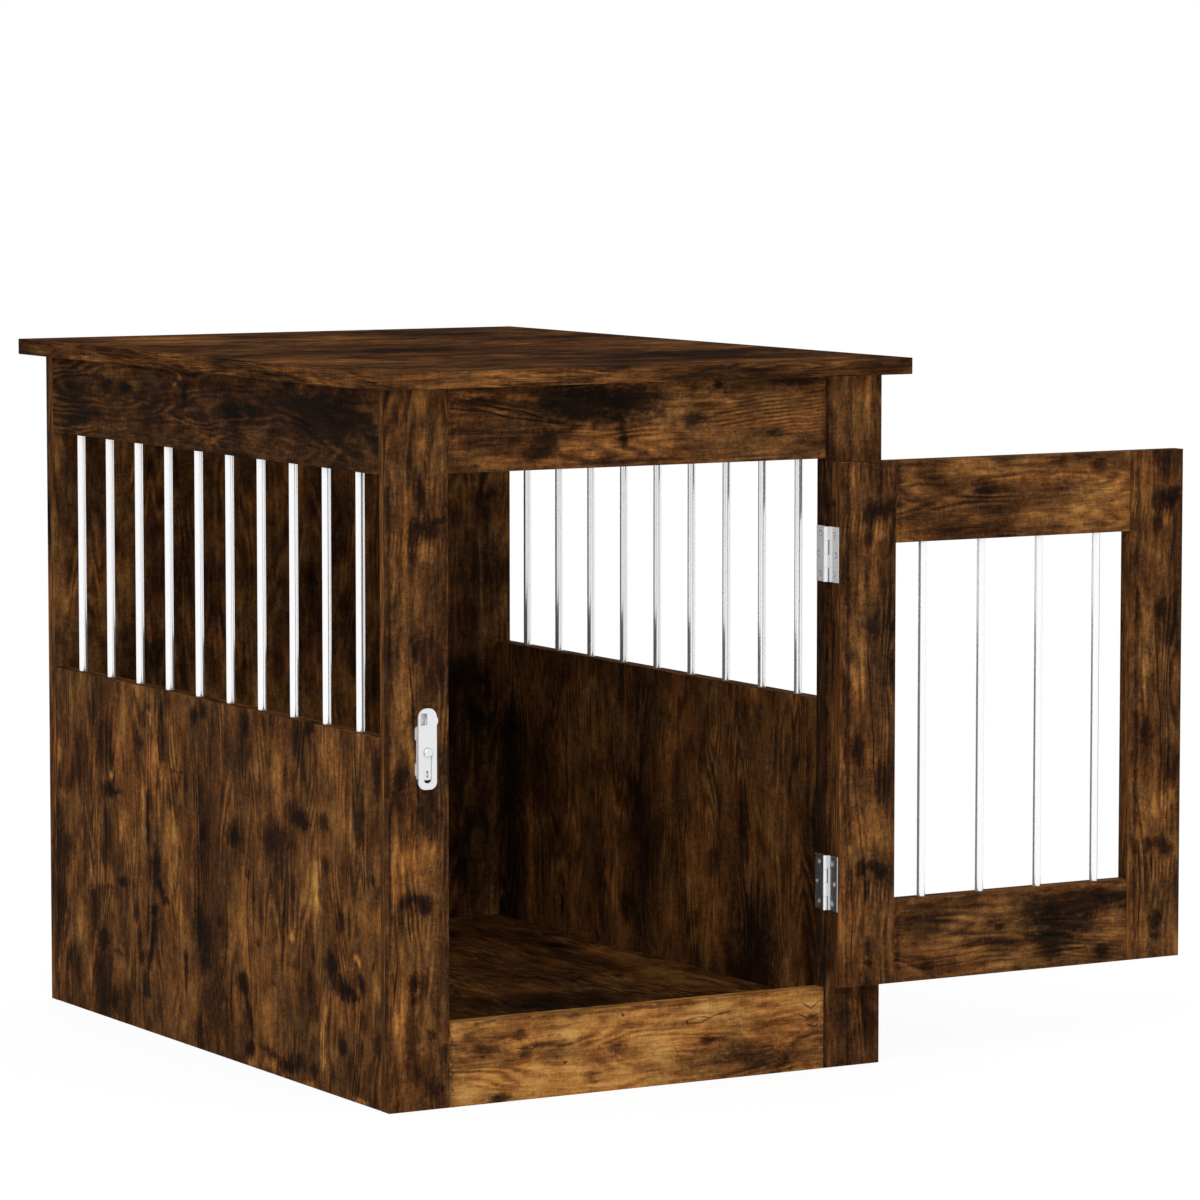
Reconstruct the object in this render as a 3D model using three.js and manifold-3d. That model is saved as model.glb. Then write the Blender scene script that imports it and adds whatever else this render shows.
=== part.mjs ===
// Dog crate end table: a board cabinet with barred sides, a barred front door on two butt
// hinges, and a swing latch with a spring slider.
//
// Millimetres, +X to the right seen from the front, +Y to the back, +Z up.
// The origin is on the floor, under the middle of the doorway's sill.
// The door is drawn open, folded flat beside the cabinet; the latch arm stands upright.

import * as THREE from "three";
import { mergeVertices } from "three/addons/utils/BufferGeometryUtils.js";
import Module from "manifold-3d";

// ---------------------------------------------------------------- driving dimensions

// Cabinet
const overallWidth = 550; // across the front, over the top panel
const overallDepth = 750; // front to back, over the top panel
const overallHeight = 650; // floor to tabletop
const boardThickness = 15;
const topOverhang = 20; // top panel past the cabinet, on every side
const stileWidth = 60; // front uprights
const topRailHeight = 75; // front and side rails under the top panel
const sillHeight = 75; // front bottom rail
const sidePanelHeight = 330; // lower side panels
const floorHeight = 48; // upper face of the cabin floor
const edgeEase = 0.4; // chamfer round the faces of a board
const seam = 0.3; // gap where two boards butt

// Bars
const barDiameter = 8;
const barSeat = 10; // how deep a bar goes into the wood
const barGap = 0.3; // between a bar and its socket, all round
const sideBarCount = 10;
const sideBarMargin = 50; // from the end walls to the first and last bar of a side
const doorBarCount = 4;
const doorBarPitch = 64.4;

// Door
const doorStileWidth = 60;
const doorTopRailHeight = 75;
const doorBottomRailHeight = 77;
const doorTopGap = 2.5;
const doorBottomGap = 2.5;
const doorLatchGap = 3.6; // between the closed door and the left stile
const doorOpening = 180; // degrees, as drawn
const dowelDiameter = 8;
const dowelLength = 30;
const dowelGap = 0.3; // between a dowel and its socket, all round

// Hinges
const hingeHeight = 50.6;
const hingeFromDoorTop = 84; // to the middle of the upper hinge
const hingeFromDoorBottom = 95; // to the middle of the lower hinge
const barrelDiameter = 5.4;
const barrelForward = 5; // hinge axis in front of the cabinet's face
const pinDiameter = 2.7;
const pinGap = 0.15;
const leafThickness = 1.2;
const leafReach = 18.3; // hinge axis to the far edge of a leaf
const leafSeat = 0.1; // between a leaf and the wood
const knuckleCount = 4;
const knuckleGap = 0.3;
const leafScrewPitch = 18.2;
const leafScrewNear = 11.1; // hinge axis to the upper and lower screws
const leafScrewFar = 14.5; // hinge axis to the middle screw

// Screw holes
const screwHole = 3.4;
const screwHead = 6.2;
const countersinkDepth = 0.9;

// Latch, measured from the pivot of its arm: "up" is along the upright arm
const latchFromDoorway = 24.3; // centre line of the latch to the edge of the doorway
const latchSeat = 0.1; // between the latch's plates and the wood
const plateThickness = 1.2; // base plate and keeper plate
const stackGap = 0.3; // between the latch's moving layers
const armWidth = 18;
const armTail = 13.4; // pivot down to the arm's lower end
const armReach = 57.9; // pivot up to the arm's upper end
const armFaceThickness = 1.6;
const armTopRadius = 8;
const armBottomRadius = 6.5;
const noseRadius = 5.5; // bulge in the arm's edge, where the stud comes in
const noseStand = 1.3; // bulge past the arm's edge
const noseBelowStud = 1.8;
const flangeThickness = 1.2;
const flangeLow = 3.6; // pivot down to the lower end of the arm's side flanges
const flangeHigh = 41.4; // pivot up to the upper end of the side flanges
const webThickness = 1; // floor of the arm round the pivot
const webHigh = 8;
const sliderThickness = 1.7;
const sliderTravel = 2.6;
const sliderBelowFlanges = 4; // upper ends of the flanges down to the shoulders of the slider
const slotWidth = 8.4;
const tongueTail = 5; // pivot down to the tail of the slider
const tongueRise = 0.7; // tongue of the slider above its plate
const peepholeWidth = 2.5; // small slot in the tongue, over the pivot
const peepholeHeight = 6.1;
const peepholeRadius = 1.2;
const headRoomGap = 0.3; // between the pivot's head and its pocket in the slider
const knobReach = 19.4; // pivot up to the thumb knob
const knobDiameter = 8;
const knobHeight = 4.9; // knob above the slider's plate
const knobEdge = 0.8; // chamfer round the knob's top
const studReach = 48.4; // pivot to the keeper's stud, along the arm
const studOffset = 3.7; // stud off the arm's centre line
const studDiameter = 4;
const studGap = 0.4; // gate and stud, with the arm latched
const gateInset = 3.5; // gate to the arm's edge
const windowWidth = 6.9;
const windowHeight = 10.5;
const windowRadius = 1;
const springWire = 0.5;
const springDiameter = 2.7; // over the wire
const springTurns = 7;
const springLow = 26.5; // pivot up to the fixed end of the spring
const springLength = 11.4;
const springEndGap = 0.1; // between an end of the spring and what it bears on
const lugHeight = 1.5; // lug of the arm under the spring
const lugClearance = 0.4; // lug to the end of its window in the slider
const pivotDiameter = 2.6;
const pivotHeadDiameter = 4.2;
const pivotHeadThickness = 0.8;
const pivotHeadEdge = 0.5; // chamfer round the head
const baseInset = 1; // base plate behind the arm's edges
const baseTail = 6; // pivot down to the base plate's lower end
const baseCorner = 3;
const earStand = 0.5; // ears of the base plate past the arm's edges
const earHeight = 13.5;
const lowEarUp = 4; // pivot up to the middle of the lower ears
const highEarUp = 35.4; // pivot up to the middle of the upper ears, and the upper screw
const baseScrewUp = 16; // pivot up to the lower screw
const headRestWidth = 10; // part of the base plate under the arm's head
const headRestInset = 4; // head rest below the arm's upper end
const headRestCorner = 2;
const keeperWidth = 14;
const keeperHeight = 34;
const keeperCorner = 6;
const keeperScrewPitch = 22;

// Facets round a circle
const barSides = 16;
const knuckleSides = 24;
const knobSides = 24;
const smallSides = 16; // pins, rivets, studs and their holes
const screwSides = 12;
const dowelSides = 12;

// ---------------------------------------------------------------- places worked out from them

const left = -(overallWidth / 2 - topOverhang);
const right = -left;
const front = -boardThickness / 2;
const back = front + overallDepth - 2 * topOverhang;
const underTop = overallHeight - boardThickness - seam; // upper edge of the upright boards

const insideLeft = left + boardThickness;
const insideRight = right - boardThickness;
const behindFrame = front + boardThickness; // back face of the front frame
const beforeBack = back - boardThickness; // inner face of the back panel

const doorwayLeft = left + stileWidth;
const doorwayRight = right - stileWidth;
const doorwayTop = underTop - topRailHeight;

const axisX = doorwayRight - leafSeat - barrelDiameter / 2;
const axisY = front - barrelForward;

const doorRight = axisX - barrelDiameter / 2 - leafSeat; // hinge edge of the closed door
const doorLeft = doorwayLeft + doorLatchGap;
const doorBottom = sillHeight + doorBottomGap;
const doorTop = doorwayTop - doorTopGap;
const doorMiddle = (doorBottom + doorTop) / 2;

const latchX = doorwayLeft - latchFromDoorway;
const latchPivotHeight = doorMiddle - knobReach; // the knob is at the door's mid-height

// ---------------------------------------------------------------- materials

const finish = (color, roughness, metalness) =>
  new THREE.MeshStandardMaterial({ color, roughness, metalness });

const smokedOak = finish(0x4a2c17, 0.6, 0);
const brightBar = finish(0xe6e8ea, 0.15, 1);
const hingeSteel = finish(0xc9cbcd, 0.25, 1);
const latchZinc = finish(0xdedfe0, 0.35, 0.8);
const springSteel = finish(0x9a9da0, 0.3, 1);
const beech = finish(0xc8a06a, 0.7, 0);

// ---------------------------------------------------------------- solids

const wasm = await Module();
wasm.setup();

const weld = 1e-4;
const overshoot = 1; // how far a cutter stands out of the face that it cuts

function solidOf(geometry) {
  const bare = geometry.clone();
  bare.deleteAttribute("normal");
  bare.deleteAttribute("uv");
  const merged = mergeVertices(bare, weld);
  return new wasm.Manifold(
    new wasm.Mesh({
      numProp: 3,
      vertProperties: merged.attributes.position.array,
      triVerts: new Uint32Array(merged.index.array),
    }),
  );
}

function geometryOf(solid) {
  const { vertProperties, triVerts, numProp } = solid.getMesh();
  const indexed = new THREE.BufferGeometry();
  indexed.setAttribute("position", new THREE.BufferAttribute(vertProperties, numProp));
  indexed.setIndex(new THREE.BufferAttribute(triVerts, 1));
  const flat = indexed.toNonIndexed();
  flat.computeVertexNormals();
  return flat;
}

/** The union of the first list of geometries, less each one of the second. */
function carve(joined, removed = []) {
  let solid = joined.map(solidOf).reduce((sum, next) => sum.add(next));
  for (const cutter of removed) solid = solid.subtract(solidOf(cutter));
  return geometryOf(solid);
}

const span = (low, high) => ({ low, high, size: high - low, middle: (low + high) / 2 });

const around = (middle, size) => span(middle - size / 2, middle + size / 2);

/** Turns a geometry drawn along +Z so that it lies along the named axis. */
function along(axis, geometry) {
  if (axis === "x") return geometry.rotateY(Math.PI / 2);
  if (axis === "y") return geometry.rotateX(-Math.PI / 2);
  return geometry;
}

function cylinder(radius, length, sides, axis = "z") {
  return along(axis, new THREE.CylinderGeometry(radius, radius, length, sides).rotateX(Math.PI / 2));
}

function rectangle(x, y) {
  return new THREE.Shape([
    new THREE.Vector2(x.low, y.low),
    new THREE.Vector2(x.high, y.low),
    new THREE.Vector2(x.high, y.high),
    new THREE.Vector2(x.low, y.high),
  ]);
}

/** A rectangle with rounded corners, with one radius below and one above. */
function roundedRectangle(x, y, lowRadius, highRadius = lowRadius) {
  const shape = new THREE.Shape();
  const corner = (cx, cy, r, start) => shape.absarc(cx, cy, r, start, start + Math.PI / 2);
  corner(x.high - lowRadius, y.low + lowRadius, lowRadius, -Math.PI / 2);
  corner(x.high - highRadius, y.high - highRadius, highRadius, 0);
  corner(x.low + highRadius, y.high - highRadius, highRadius, Math.PI / 2);
  corner(x.low + lowRadius, y.low + lowRadius, lowRadius, Math.PI);
  shape.closePath();
  return shape;
}

/** A shape drawn in XY, filled from z.low to z.high. */
function plate(shape, z, cornerSegments = 5) {
  return new THREE.ExtrudeGeometry(shape, {
    depth: z.size,
    bevelEnabled: false,
    curveSegments: cornerSegments,
  }).translate(0, 0, z.low);
}

function addMesh(group, name, geometry, material, x = 0, y = 0, z = 0) {
  const mesh = new THREE.Mesh(geometry, material);
  mesh.name = name;
  mesh.position.set(x, y, z);
  group.add(mesh);
  return mesh;
}

/**
 * A board between three spans, with eased edges round its two faces, and with blind sockets.
 * faceAxis is the direction that its faces look in.
 */
function addBoard(group, name, x, y, z, faceAxis, sockets = []) {
  const [across, up, thick] = { x: [z, y, x], y: [x, z, y], z: [x, y, z] }[faceAxis];
  const outline = rectangle(
    around(0, across.size - 2 * edgeEase),
    around(0, up.size - 2 * edgeEase),
  );
  const board = new THREE.ExtrudeGeometry(outline, {
    depth: thick.size - 2 * edgeEase,
    bevelThickness: edgeEase,
    bevelSize: edgeEase,
    bevelSegments: 1,
  }).translate(0, 0, edgeEase - thick.size / 2);
  along(faceAxis, board);
  const cutters = sockets.map((cut) => cut.translate(-x.middle, -y.middle, -z.middle));
  const geometry = cutters.length ? carve([board], cutters) : board;
  return addMesh(group, name, geometry, smokedOak, x.middle, y.middle, z.middle);
}

/** The cutter of a blind round socket, whose mouth is at x, y, z and which runs along +-axis. */
function socket(diameter, depth, sides, axis, direction, x, y, z) {
  const cutter = cylinder(diameter / 2, depth + overshoot, sides, axis);
  const shift = (direction * (depth - overshoot)) / 2;
  return cutter.translate(
    x + (axis === "x" ? shift : 0),
    y + (axis === "y" ? shift : 0),
    z + (axis === "z" ? shift : 0),
  );
}

/** The cutter of a countersunk screw hole along Z, whose head end is at z = 0 and looks to +Z. */
function screwCutter(thickness) {
  const slope = (screwHead - screwHole) / 2 / countersinkDepth;
  const profile = [
    [0, -thickness - overshoot],
    [screwHole / 2, -thickness - overshoot],
    [screwHole / 2, -countersinkDepth],
    [screwHead / 2 + slope * overshoot, overshoot],
    [0, overshoot],
  ].map(([r, h]) => new THREE.Vector2(r, h));
  return new THREE.LatheGeometry(profile, screwSides).rotateX(Math.PI / 2);
}

/** A rod along Z with chamfered ends, as a pin or a dowel is. */
function rod(diameter, length, sides) {
  const radius = diameter / 2;
  const half = length / 2;
  const chamfer = diameter / 8;
  const profile = [
    [0, -half],
    [radius - chamfer, -half],
    [radius, chamfer - half],
    [radius, half - chamfer],
    [radius - chamfer, half],
    [0, half],
  ].map(([r, h]) => new THREE.Vector2(r, h));
  return new THREE.LatheGeometry(profile, sides).rotateX(Math.PI / 2);
}

// ---------------------------------------------------------------- bars

const barSocketDiameter = barDiameter + 2 * barGap;
const barSocketDepth = barSeat + barGap;

/** A row of upright bars at the given places, seated in the board below and the board above. */
function addBars(group, prefix, places, low, high) {
  places.forEach(([x, y], i) => {
    const bar = cylinder(barDiameter / 2, high - low + 2 * barSeat, barSides);
    const number = String(i + 1).padStart(2, "0");
    addMesh(group, `${prefix}_${number}`, bar, brightBar, x, y, (low + high) / 2);
  });
}

/** The sockets of a row of bars in the edge at height z: direction -1 is down into the board. */
const barSockets = (places, z, direction) =>
  places.map(([x, y]) =>
    socket(barSocketDiameter, barSocketDepth, barSides, "z", direction, x, y, z),
  );

// ---------------------------------------------------------------- cabinet

function addSide(group, side, wall) {
  const run = span(behindFrame + seam, beforeBack - seam);
  const firstBar = behindFrame + sideBarMargin;
  const pitch = (beforeBack - sideBarMargin - firstBar) / (sideBarCount - 1);
  const places = Array.from({ length: sideBarCount }, (_, i) => [
    wall.middle,
    firstBar + i * pitch,
  ]);

  addBoard(
    group,
    `side_panel_${side}`,
    wall,
    run,
    span(0, sidePanelHeight),
    "x",
    barSockets(places, sidePanelHeight, -1),
  );
  addBoard(
    group,
    `side_rail_${side}`,
    wall,
    run,
    span(doorwayTop, underTop),
    "x",
    barSockets(places, doorwayTop, 1),
  );
  addBars(group, `side_bar_${side}`, places, sidePanelHeight, doorwayTop);
}

function addCabinet(group) {
  const wholeWidth = span(left, right);
  const frame = span(front, behindFrame);
  const upright = span(0, underTop);
  const betweenStiles = span(doorwayLeft + seam, doorwayRight - seam);

  addBoard(
    group,
    "top_panel",
    span(left - topOverhang, right + topOverhang),
    span(front - topOverhang, back + topOverhang),
    span(overallHeight - boardThickness, overallHeight),
    "z",
  );
  addBoard(group, "back_panel", wholeWidth, span(beforeBack, back), upright, "y");
  addBoard(
    group,
    "floor_panel",
    span(insideLeft + seam, insideRight - seam),
    span(behindFrame + seam, beforeBack - seam),
    span(floorHeight - boardThickness, floorHeight),
    "z",
  );
  addBoard(group, "front_stile_left", span(left, doorwayLeft), frame, upright, "y");
  addBoard(group, "front_stile_right", span(doorwayRight, right), frame, upright, "y");
  addBoard(group, "front_rail_top", betweenStiles, frame, span(doorwayTop, underTop), "y");
  addBoard(group, "front_rail_bottom", betweenStiles, frame, span(0, sillHeight), "y");
  addSide(group, "left", span(left, insideLeft));
  addSide(group, "right", span(insideRight, right));
}

// ---------------------------------------------------------------- door

function addDoorCorner(sockets, group, name, seamX, direction, height) {
  // direction is +1 where the rail lies on the +X side of the stile
  const middleY = (front + behindFrame) / 2;
  const depth = dowelLength / 2 + dowelGap;
  const diameter = dowelDiameter + 2 * dowelGap;
  const hole = (side, x) =>
    socket(diameter, depth, dowelSides, "x", side, x, middleY, height);
  const dowel = along("x", rod(dowelDiameter, dowelLength, dowelSides));

  sockets.stile.push(hole(-direction, seamX - (direction * seam) / 2));
  sockets.rail.push(hole(direction, seamX + (direction * seam) / 2));
  addMesh(group, name, dowel, beech, seamX, middleY, height);
}

function addDoor(group) {
  const frame = span(front, behindFrame);
  const upright = span(doorBottom, doorTop);
  const seamLeft = doorLeft + doorStileWidth + seam / 2;
  const seamRight = doorRight - doorStileWidth - seam / 2;
  const between = span(seamLeft + seam / 2, seamRight - seam / 2);
  const openLow = doorBottom + doorBottomRailHeight;
  const openHigh = doorTop - doorTopRailHeight;

  const firstBar = between.middle - (doorBarPitch * (doorBarCount - 1)) / 2;
  const places = Array.from({ length: doorBarCount }, (_, i) => [
    firstBar + i * doorBarPitch,
    frame.middle,
  ]);

  const latchStile = [];
  const hingeStile = [];
  const topRail = barSockets(places, openHigh, 1);
  const bottomRail = barSockets(places, openLow, -1);
  const topHeight = (openHigh + doorTop) / 2;
  const bottomHeight = (doorBottom + openLow) / 2;
  const corners = [
    ["door_dowel_latch_top", latchStile, topRail, seamLeft, 1, topHeight],
    ["door_dowel_latch_bottom", latchStile, bottomRail, seamLeft, 1, bottomHeight],
    ["door_dowel_hinge_top", hingeStile, topRail, seamRight, -1, topHeight],
    ["door_dowel_hinge_bottom", hingeStile, bottomRail, seamRight, -1, bottomHeight],
  ];
  for (const [name, stile, rail, seamX, direction, height] of corners)
    addDoorCorner({ stile, rail }, group, name, seamX, direction, height);

  const latchSpan = span(doorLeft, doorLeft + doorStileWidth);
  const hingeSpan = span(doorRight - doorStileWidth, doorRight);
  addBoard(group, "door_stile_latch", latchSpan, frame, upright, "y", latchStile);
  addBoard(group, "door_stile_hinge", hingeSpan, frame, upright, "y", hingeStile);
  addBoard(group, "door_rail_top", between, frame, span(openHigh, doorTop), "y", topRail);
  addBoard(group, "door_rail_bottom", between, frame, span(doorBottom, openLow), "y", bottomRail);
  addBars(group, "door_bar", places, openLow, openHigh);
}

// ---------------------------------------------------------------- hinges

const barrelRadius = barrelDiameter / 2;
const knucklePitch = hingeHeight / knuckleCount;

/**
 * One leaf of a butt hinge, with the hinge axis on the Z axis and the middle of the hinge at
 * z = 0. The leaf lies against the plane x = barrel radius and reaches towards +Y. parity
 * picks every other knuckle.
 */
function leafGeometry(parity) {
  const sheet = span(barrelRadius - leafThickness, barrelRadius);
  const clearOfBarrel = barrelRadius + knuckleGap;
  const pieces = [
    plate(rectangle(sheet, span(clearOfBarrel, leafReach)), around(0, hingeHeight)),
  ];
  for (let i = parity; i < knuckleCount; i += 2) {
    const height = around(
      (i + 0.5) * knucklePitch - hingeHeight / 2,
      knucklePitch - knuckleGap,
    );
    const strap = rectangle(sheet, span(0, clearOfBarrel + leafThickness));
    pieces.push(plate(strap, height));
    const knuckle = cylinder(barrelRadius, height.size, knuckleSides);
    pieces.push(knuckle.translate(0, 0, height.middle));
  }
  const bore = cylinder(pinDiameter / 2 + pinGap, hingeHeight + 2 * overshoot, smallSides);
  const screws = [
    [leafScrewNear, -leafScrewPitch],
    [leafScrewFar, 0],
    [leafScrewNear, leafScrewPitch],
  ].map(([y, z]) => screwCutter(leafThickness).rotateY(-Math.PI / 2).translate(sheet.low, y, z));
  return carve(pieces, [bore, ...screws]);
}

/** A hinge: one leaf and the pin on the frame, and the other leaf on the closed door. */
function addHinge(frameGroup, doorGroup, name, height) {
  const place = [axisX, axisY, height];
  const pin = rod(pinDiameter, hingeHeight, smallSides);
  addMesh(frameGroup, `${name}_frame_leaf`, leafGeometry(0), hingeSteel, ...place);
  addMesh(frameGroup, `${name}_pin`, pin, hingeSteel, ...place);
  // The door's leaf is turned end for end, which puts its knuckles between the other's.
  const parity = knuckleCount % 2;
  const doorLeaf = addMesh(doorGroup, `${name}_door_leaf`, leafGeometry(parity), hingeSteel, ...place);
  doorLeaf.rotation.y = Math.PI;
}

// ---------------------------------------------------------------- latch

// Heights above the face of the stile, layer by layer.
const baseLayer = span(latchSeat, latchSeat + plateThickness);
const webLayer = span(baseLayer.high + stackGap, baseLayer.high + stackGap + webThickness);
const sliderLayer = span(webLayer.high + stackGap, webLayer.high + stackGap + sliderThickness);
const faceLayer = span(
  sliderLayer.high + stackGap,
  sliderLayer.high + stackGap + armFaceThickness,
);

const armHalf = armWidth / 2;
const slotUp = span(
  -(tongueTail + sliderTravel + stackGap),
  knobReach + slotWidth / 2,
);
const springRadius = (springDiameter - springWire) / 2;
const springMiddle = (baseLayer.high + faceLayer.low) / 2;
const springUp = span(springLow, springLow + springLength);
const springWindow = around(0, springDiameter + 2 * stackGap);
const lugUp = span(springUp.low - springEndGap - lugHeight, springUp.low - springEndGap);

/** The hole of the latch's pivot through one layer of it. */
function pivotHole(layer) {
  const hole = cylinder(pivotDiameter / 2 + pinGap, layer.size + 2 * overshoot, smallSides);
  return hole.translate(0, 0, layer.middle);
}

/** Countersunk holes through a plate of the latch, at the given places along it. */
const plateScrews = (places) =>
  places.map((up) => screwCutter(plateThickness).translate(0, up, baseLayer.high));

function baseGeometry() {
  const earAcross = around(0, armWidth + 2 * earStand);
  const body = roundedRectangle(
    around(0, armWidth - 2 * baseInset),
    span(-baseTail, flangeHigh),
    baseCorner,
  );
  const lowEars = roundedRectangle(earAcross, around(lowEarUp, earHeight), baseCorner);
  const highEars = roundedRectangle(earAcross, around(highEarUp, earHeight), baseCorner);
  const headRest = roundedRectangle(
    around(0, headRestWidth),
    span(highEarUp, armReach - headRestInset),
    headRestCorner,
  );
  return carve(
    [body, lowEars, highEars, headRest].map((shape) => plate(shape, baseLayer)),
    [pivotHole(baseLayer), ...plateScrews([baseScrewUp, highEarUp])],
  );
}

function armGeometry() {
  const face = roundedRectangle(
    around(0, armWidth),
    span(-armTail, armReach),
    armBottomRadius,
    armTopRadius,
  );
  const flangeUp = span(-flangeLow, flangeHigh);
  const flangeLayer = span(webLayer.low, faceLayer.high);
  const flanges = [
    span(-armHalf, flangeThickness - armHalf),
    span(armHalf - flangeThickness, armHalf),
  ].map((x) => plate(rectangle(x, flangeUp), flangeLayer));
  const web = plate(rectangle(around(0, armWidth), span(-flangeLow, webHigh)), webLayer);
  const nose = cylinder(noseRadius, armFaceThickness, knobSides).translate(
    armHalf + noseStand - noseRadius,
    studReach - noseBelowStud,
    faceLayer.middle,
  );
  const lug = plate(
    rectangle(around(0, springDiameter), lugUp),
    span(webLayer.high, faceLayer.middle),
  );
  const slot = roundedRectangle(around(0, slotWidth), slotUp, slotWidth / 2);
  const sight = roundedRectangle(
    around(-studOffset, windowWidth),
    around(studReach, windowHeight),
    windowRadius,
  );
  const through = span(faceLayer.low - overshoot, faceLayer.high + overshoot);
  return carve(
    [plate(face, faceLayer, 8), ...flanges, web, nose, lug],
    [plate(slot, span(sliderLayer.high, through.high)), plate(sight, through), pivotHole(webLayer)],
  );
}

function sliderGeometry() {
  const plateWidth = armWidth - 2 * flangeThickness - 2 * stackGap;
  const shoulders = flangeHigh - sliderBelowFlanges;
  const body = rectangle(around(0, plateWidth), span(-tongueTail, shoulders));
  const gate = rectangle(
    span(-studOffset + studDiameter / 2 + studGap, armHalf - gateInset),
    span(shoulders - overshoot, studReach),
  );
  const tongue = roundedRectangle(
    around(0, slotWidth - 2 * stackGap),
    span(-tongueTail, knobReach + slotWidth / 2 - stackGap),
    slotWidth / 2 - stackGap,
  );
  const tongueLayer = span(sliderLayer.middle, sliderLayer.high + tongueRise);
  const knob = new THREE.LatheGeometry(
    [
      [0, sliderLayer.middle],
      [knobDiameter / 2, sliderLayer.middle],
      [knobDiameter / 2, sliderLayer.high + knobHeight - knobEdge],
      [knobDiameter / 2 - knobEdge, sliderLayer.high + knobHeight],
      [0, sliderLayer.high + knobHeight],
    ].map(([r, h]) => new THREE.Vector2(r, h)),
    knobSides,
  )
    .rotateX(Math.PI / 2)
    .translate(0, knobReach, 0);
  const headRoom = around(0, pivotHeadDiameter + 2 * headRoomGap);
  const pocket = roundedRectangle(
    headRoom,
    span(headRoom.low, headRoom.high + sliderTravel),
    pivotHeadDiameter / 2,
  );
  const pocketDepth = pivotHeadThickness + headRoomGap;
  const peephole = roundedRectangle(
    around(0, peepholeWidth),
    around(0, peepholeHeight),
    peepholeRadius,
  );
  return carve(
    [plate(body, sliderLayer), plate(gate, sliderLayer), plate(tongue, tongueLayer), knob],
    [
      plate(pocket, span(sliderLayer.low - overshoot, sliderLayer.low + pocketDepth)),
      plate(peephole, span(sliderLayer.low, sliderLayer.high + tongueRise + overshoot)),
      plate(
        rectangle(springWindow, span(lugUp.low - lugClearance, springUp.high + springEndGap)),
        span(sliderLayer.low - overshoot, sliderLayer.high + tongueRise),
      ),
    ],
  );
}

/** An open coil, as one tube round a helix that climbs along the arm. */
function springGeometry() {
  class Helix extends THREE.Curve {
    getPoint(t, target = new THREE.Vector3()) {
      const angle = 2 * Math.PI * springTurns * t;
      return target.set(
        springRadius * Math.cos(angle),
        springUp.low + springWire + (springUp.size - 2 * springWire) * t,
        springMiddle + springRadius * Math.sin(angle),
      );
    }
  }
  const section = new THREE.Shape();
  section.absarc(0, 0, springWire / 2, 0, 2 * Math.PI);
  return new THREE.ExtrudeGeometry(section, {
    steps: springTurns * 8,
    curveSegments: 5,
    bevelEnabled: false,
    extrudePath: new Helix(),
  });
}

function rivetGeometry() {
  const head = span(
    webLayer.high + stackGap / 2,
    webLayer.high + stackGap / 2 + pivotHeadThickness,
  );
  const profile = [
    [0, baseLayer.low],
    [pivotDiameter / 2, baseLayer.low],
    [pivotDiameter / 2, head.low],
    [pivotHeadDiameter / 2, head.low],
    [pivotHeadDiameter / 2, head.middle],
    [pivotHeadDiameter / 2 - pivotHeadEdge, head.high],
    [0, head.high],
  ].map(([r, h]) => new THREE.Vector2(r, h));
  return new THREE.LatheGeometry(profile, smallSides).rotateX(Math.PI / 2);
}

/** The keeper's plate and stud, drawn round the stud. */
function keeperGeometry() {
  const outline = roundedRectangle(
    around(0, keeperWidth),
    around(0, keeperHeight),
    keeperCorner,
  );
  const reach = span(baseLayer.low, sliderLayer.high);
  const stud = cylinder(studDiameter / 2, reach.size, smallSides).translate(0, 0, reach.middle);
  const fromStud = keeperScrewPitch / 2;
  return carve([plate(outline, baseLayer), stud], plateScrews([-fromStud, fromStud]));
}

/** Turns a group drawn flat in XY so that it stands against the cabinet's front, +Z outwards. */
function againstFront(x, z) {
  const group = new THREE.Group();
  group.position.set(x, front, z);
  group.rotation.x = Math.PI / 2;
  return group;
}

function addLatch(frameGroup, doorGroup) {
  const latch = againstFront(latchX, latchPivotHeight);
  addMesh(latch, "latch_base", baseGeometry(), latchZinc);
  addMesh(latch, "latch_pivot", rivetGeometry(), latchZinc);
  addMesh(latch, "latch_arm", armGeometry(), latchZinc);
  addMesh(latch, "latch_slider", sliderGeometry(), latchZinc);
  addMesh(latch, "latch_spring", springGeometry(), springSteel);
  frameGroup.add(latch);

  // With the arm swung over the door, its stud place lies here.
  const keeper = againstFront(latchX + studReach, latchPivotHeight + studOffset);
  addMesh(keeper, "latch_keeper", keeperGeometry(), latchZinc);
  doorGroup.add(keeper);
}

// ---------------------------------------------------------------- assembly

const crate = new THREE.Group();
const doorPivot = new THREE.Group();
const door = new THREE.Group();

doorPivot.position.set(axisX, axisY, 0);
doorPivot.rotation.z = THREE.MathUtils.degToRad(doorOpening);
door.position.set(-axisX, -axisY, 0); // what it holds is drawn in its closed place
doorPivot.add(door);

addCabinet(crate);
addDoor(door);
addHinge(crate, door, "hinge_upper", doorTop - hingeFromDoorTop);
addHinge(crate, door, "hinge_lower", doorBottom + hingeFromDoorBottom);
addLatch(crate, door);
crate.add(doorPivot);

export default crate;
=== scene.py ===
from math import atan2, cos, hypot, pi, radians, sin

import bmesh
import bpy
from mathutils import Matrix, Vector


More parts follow.
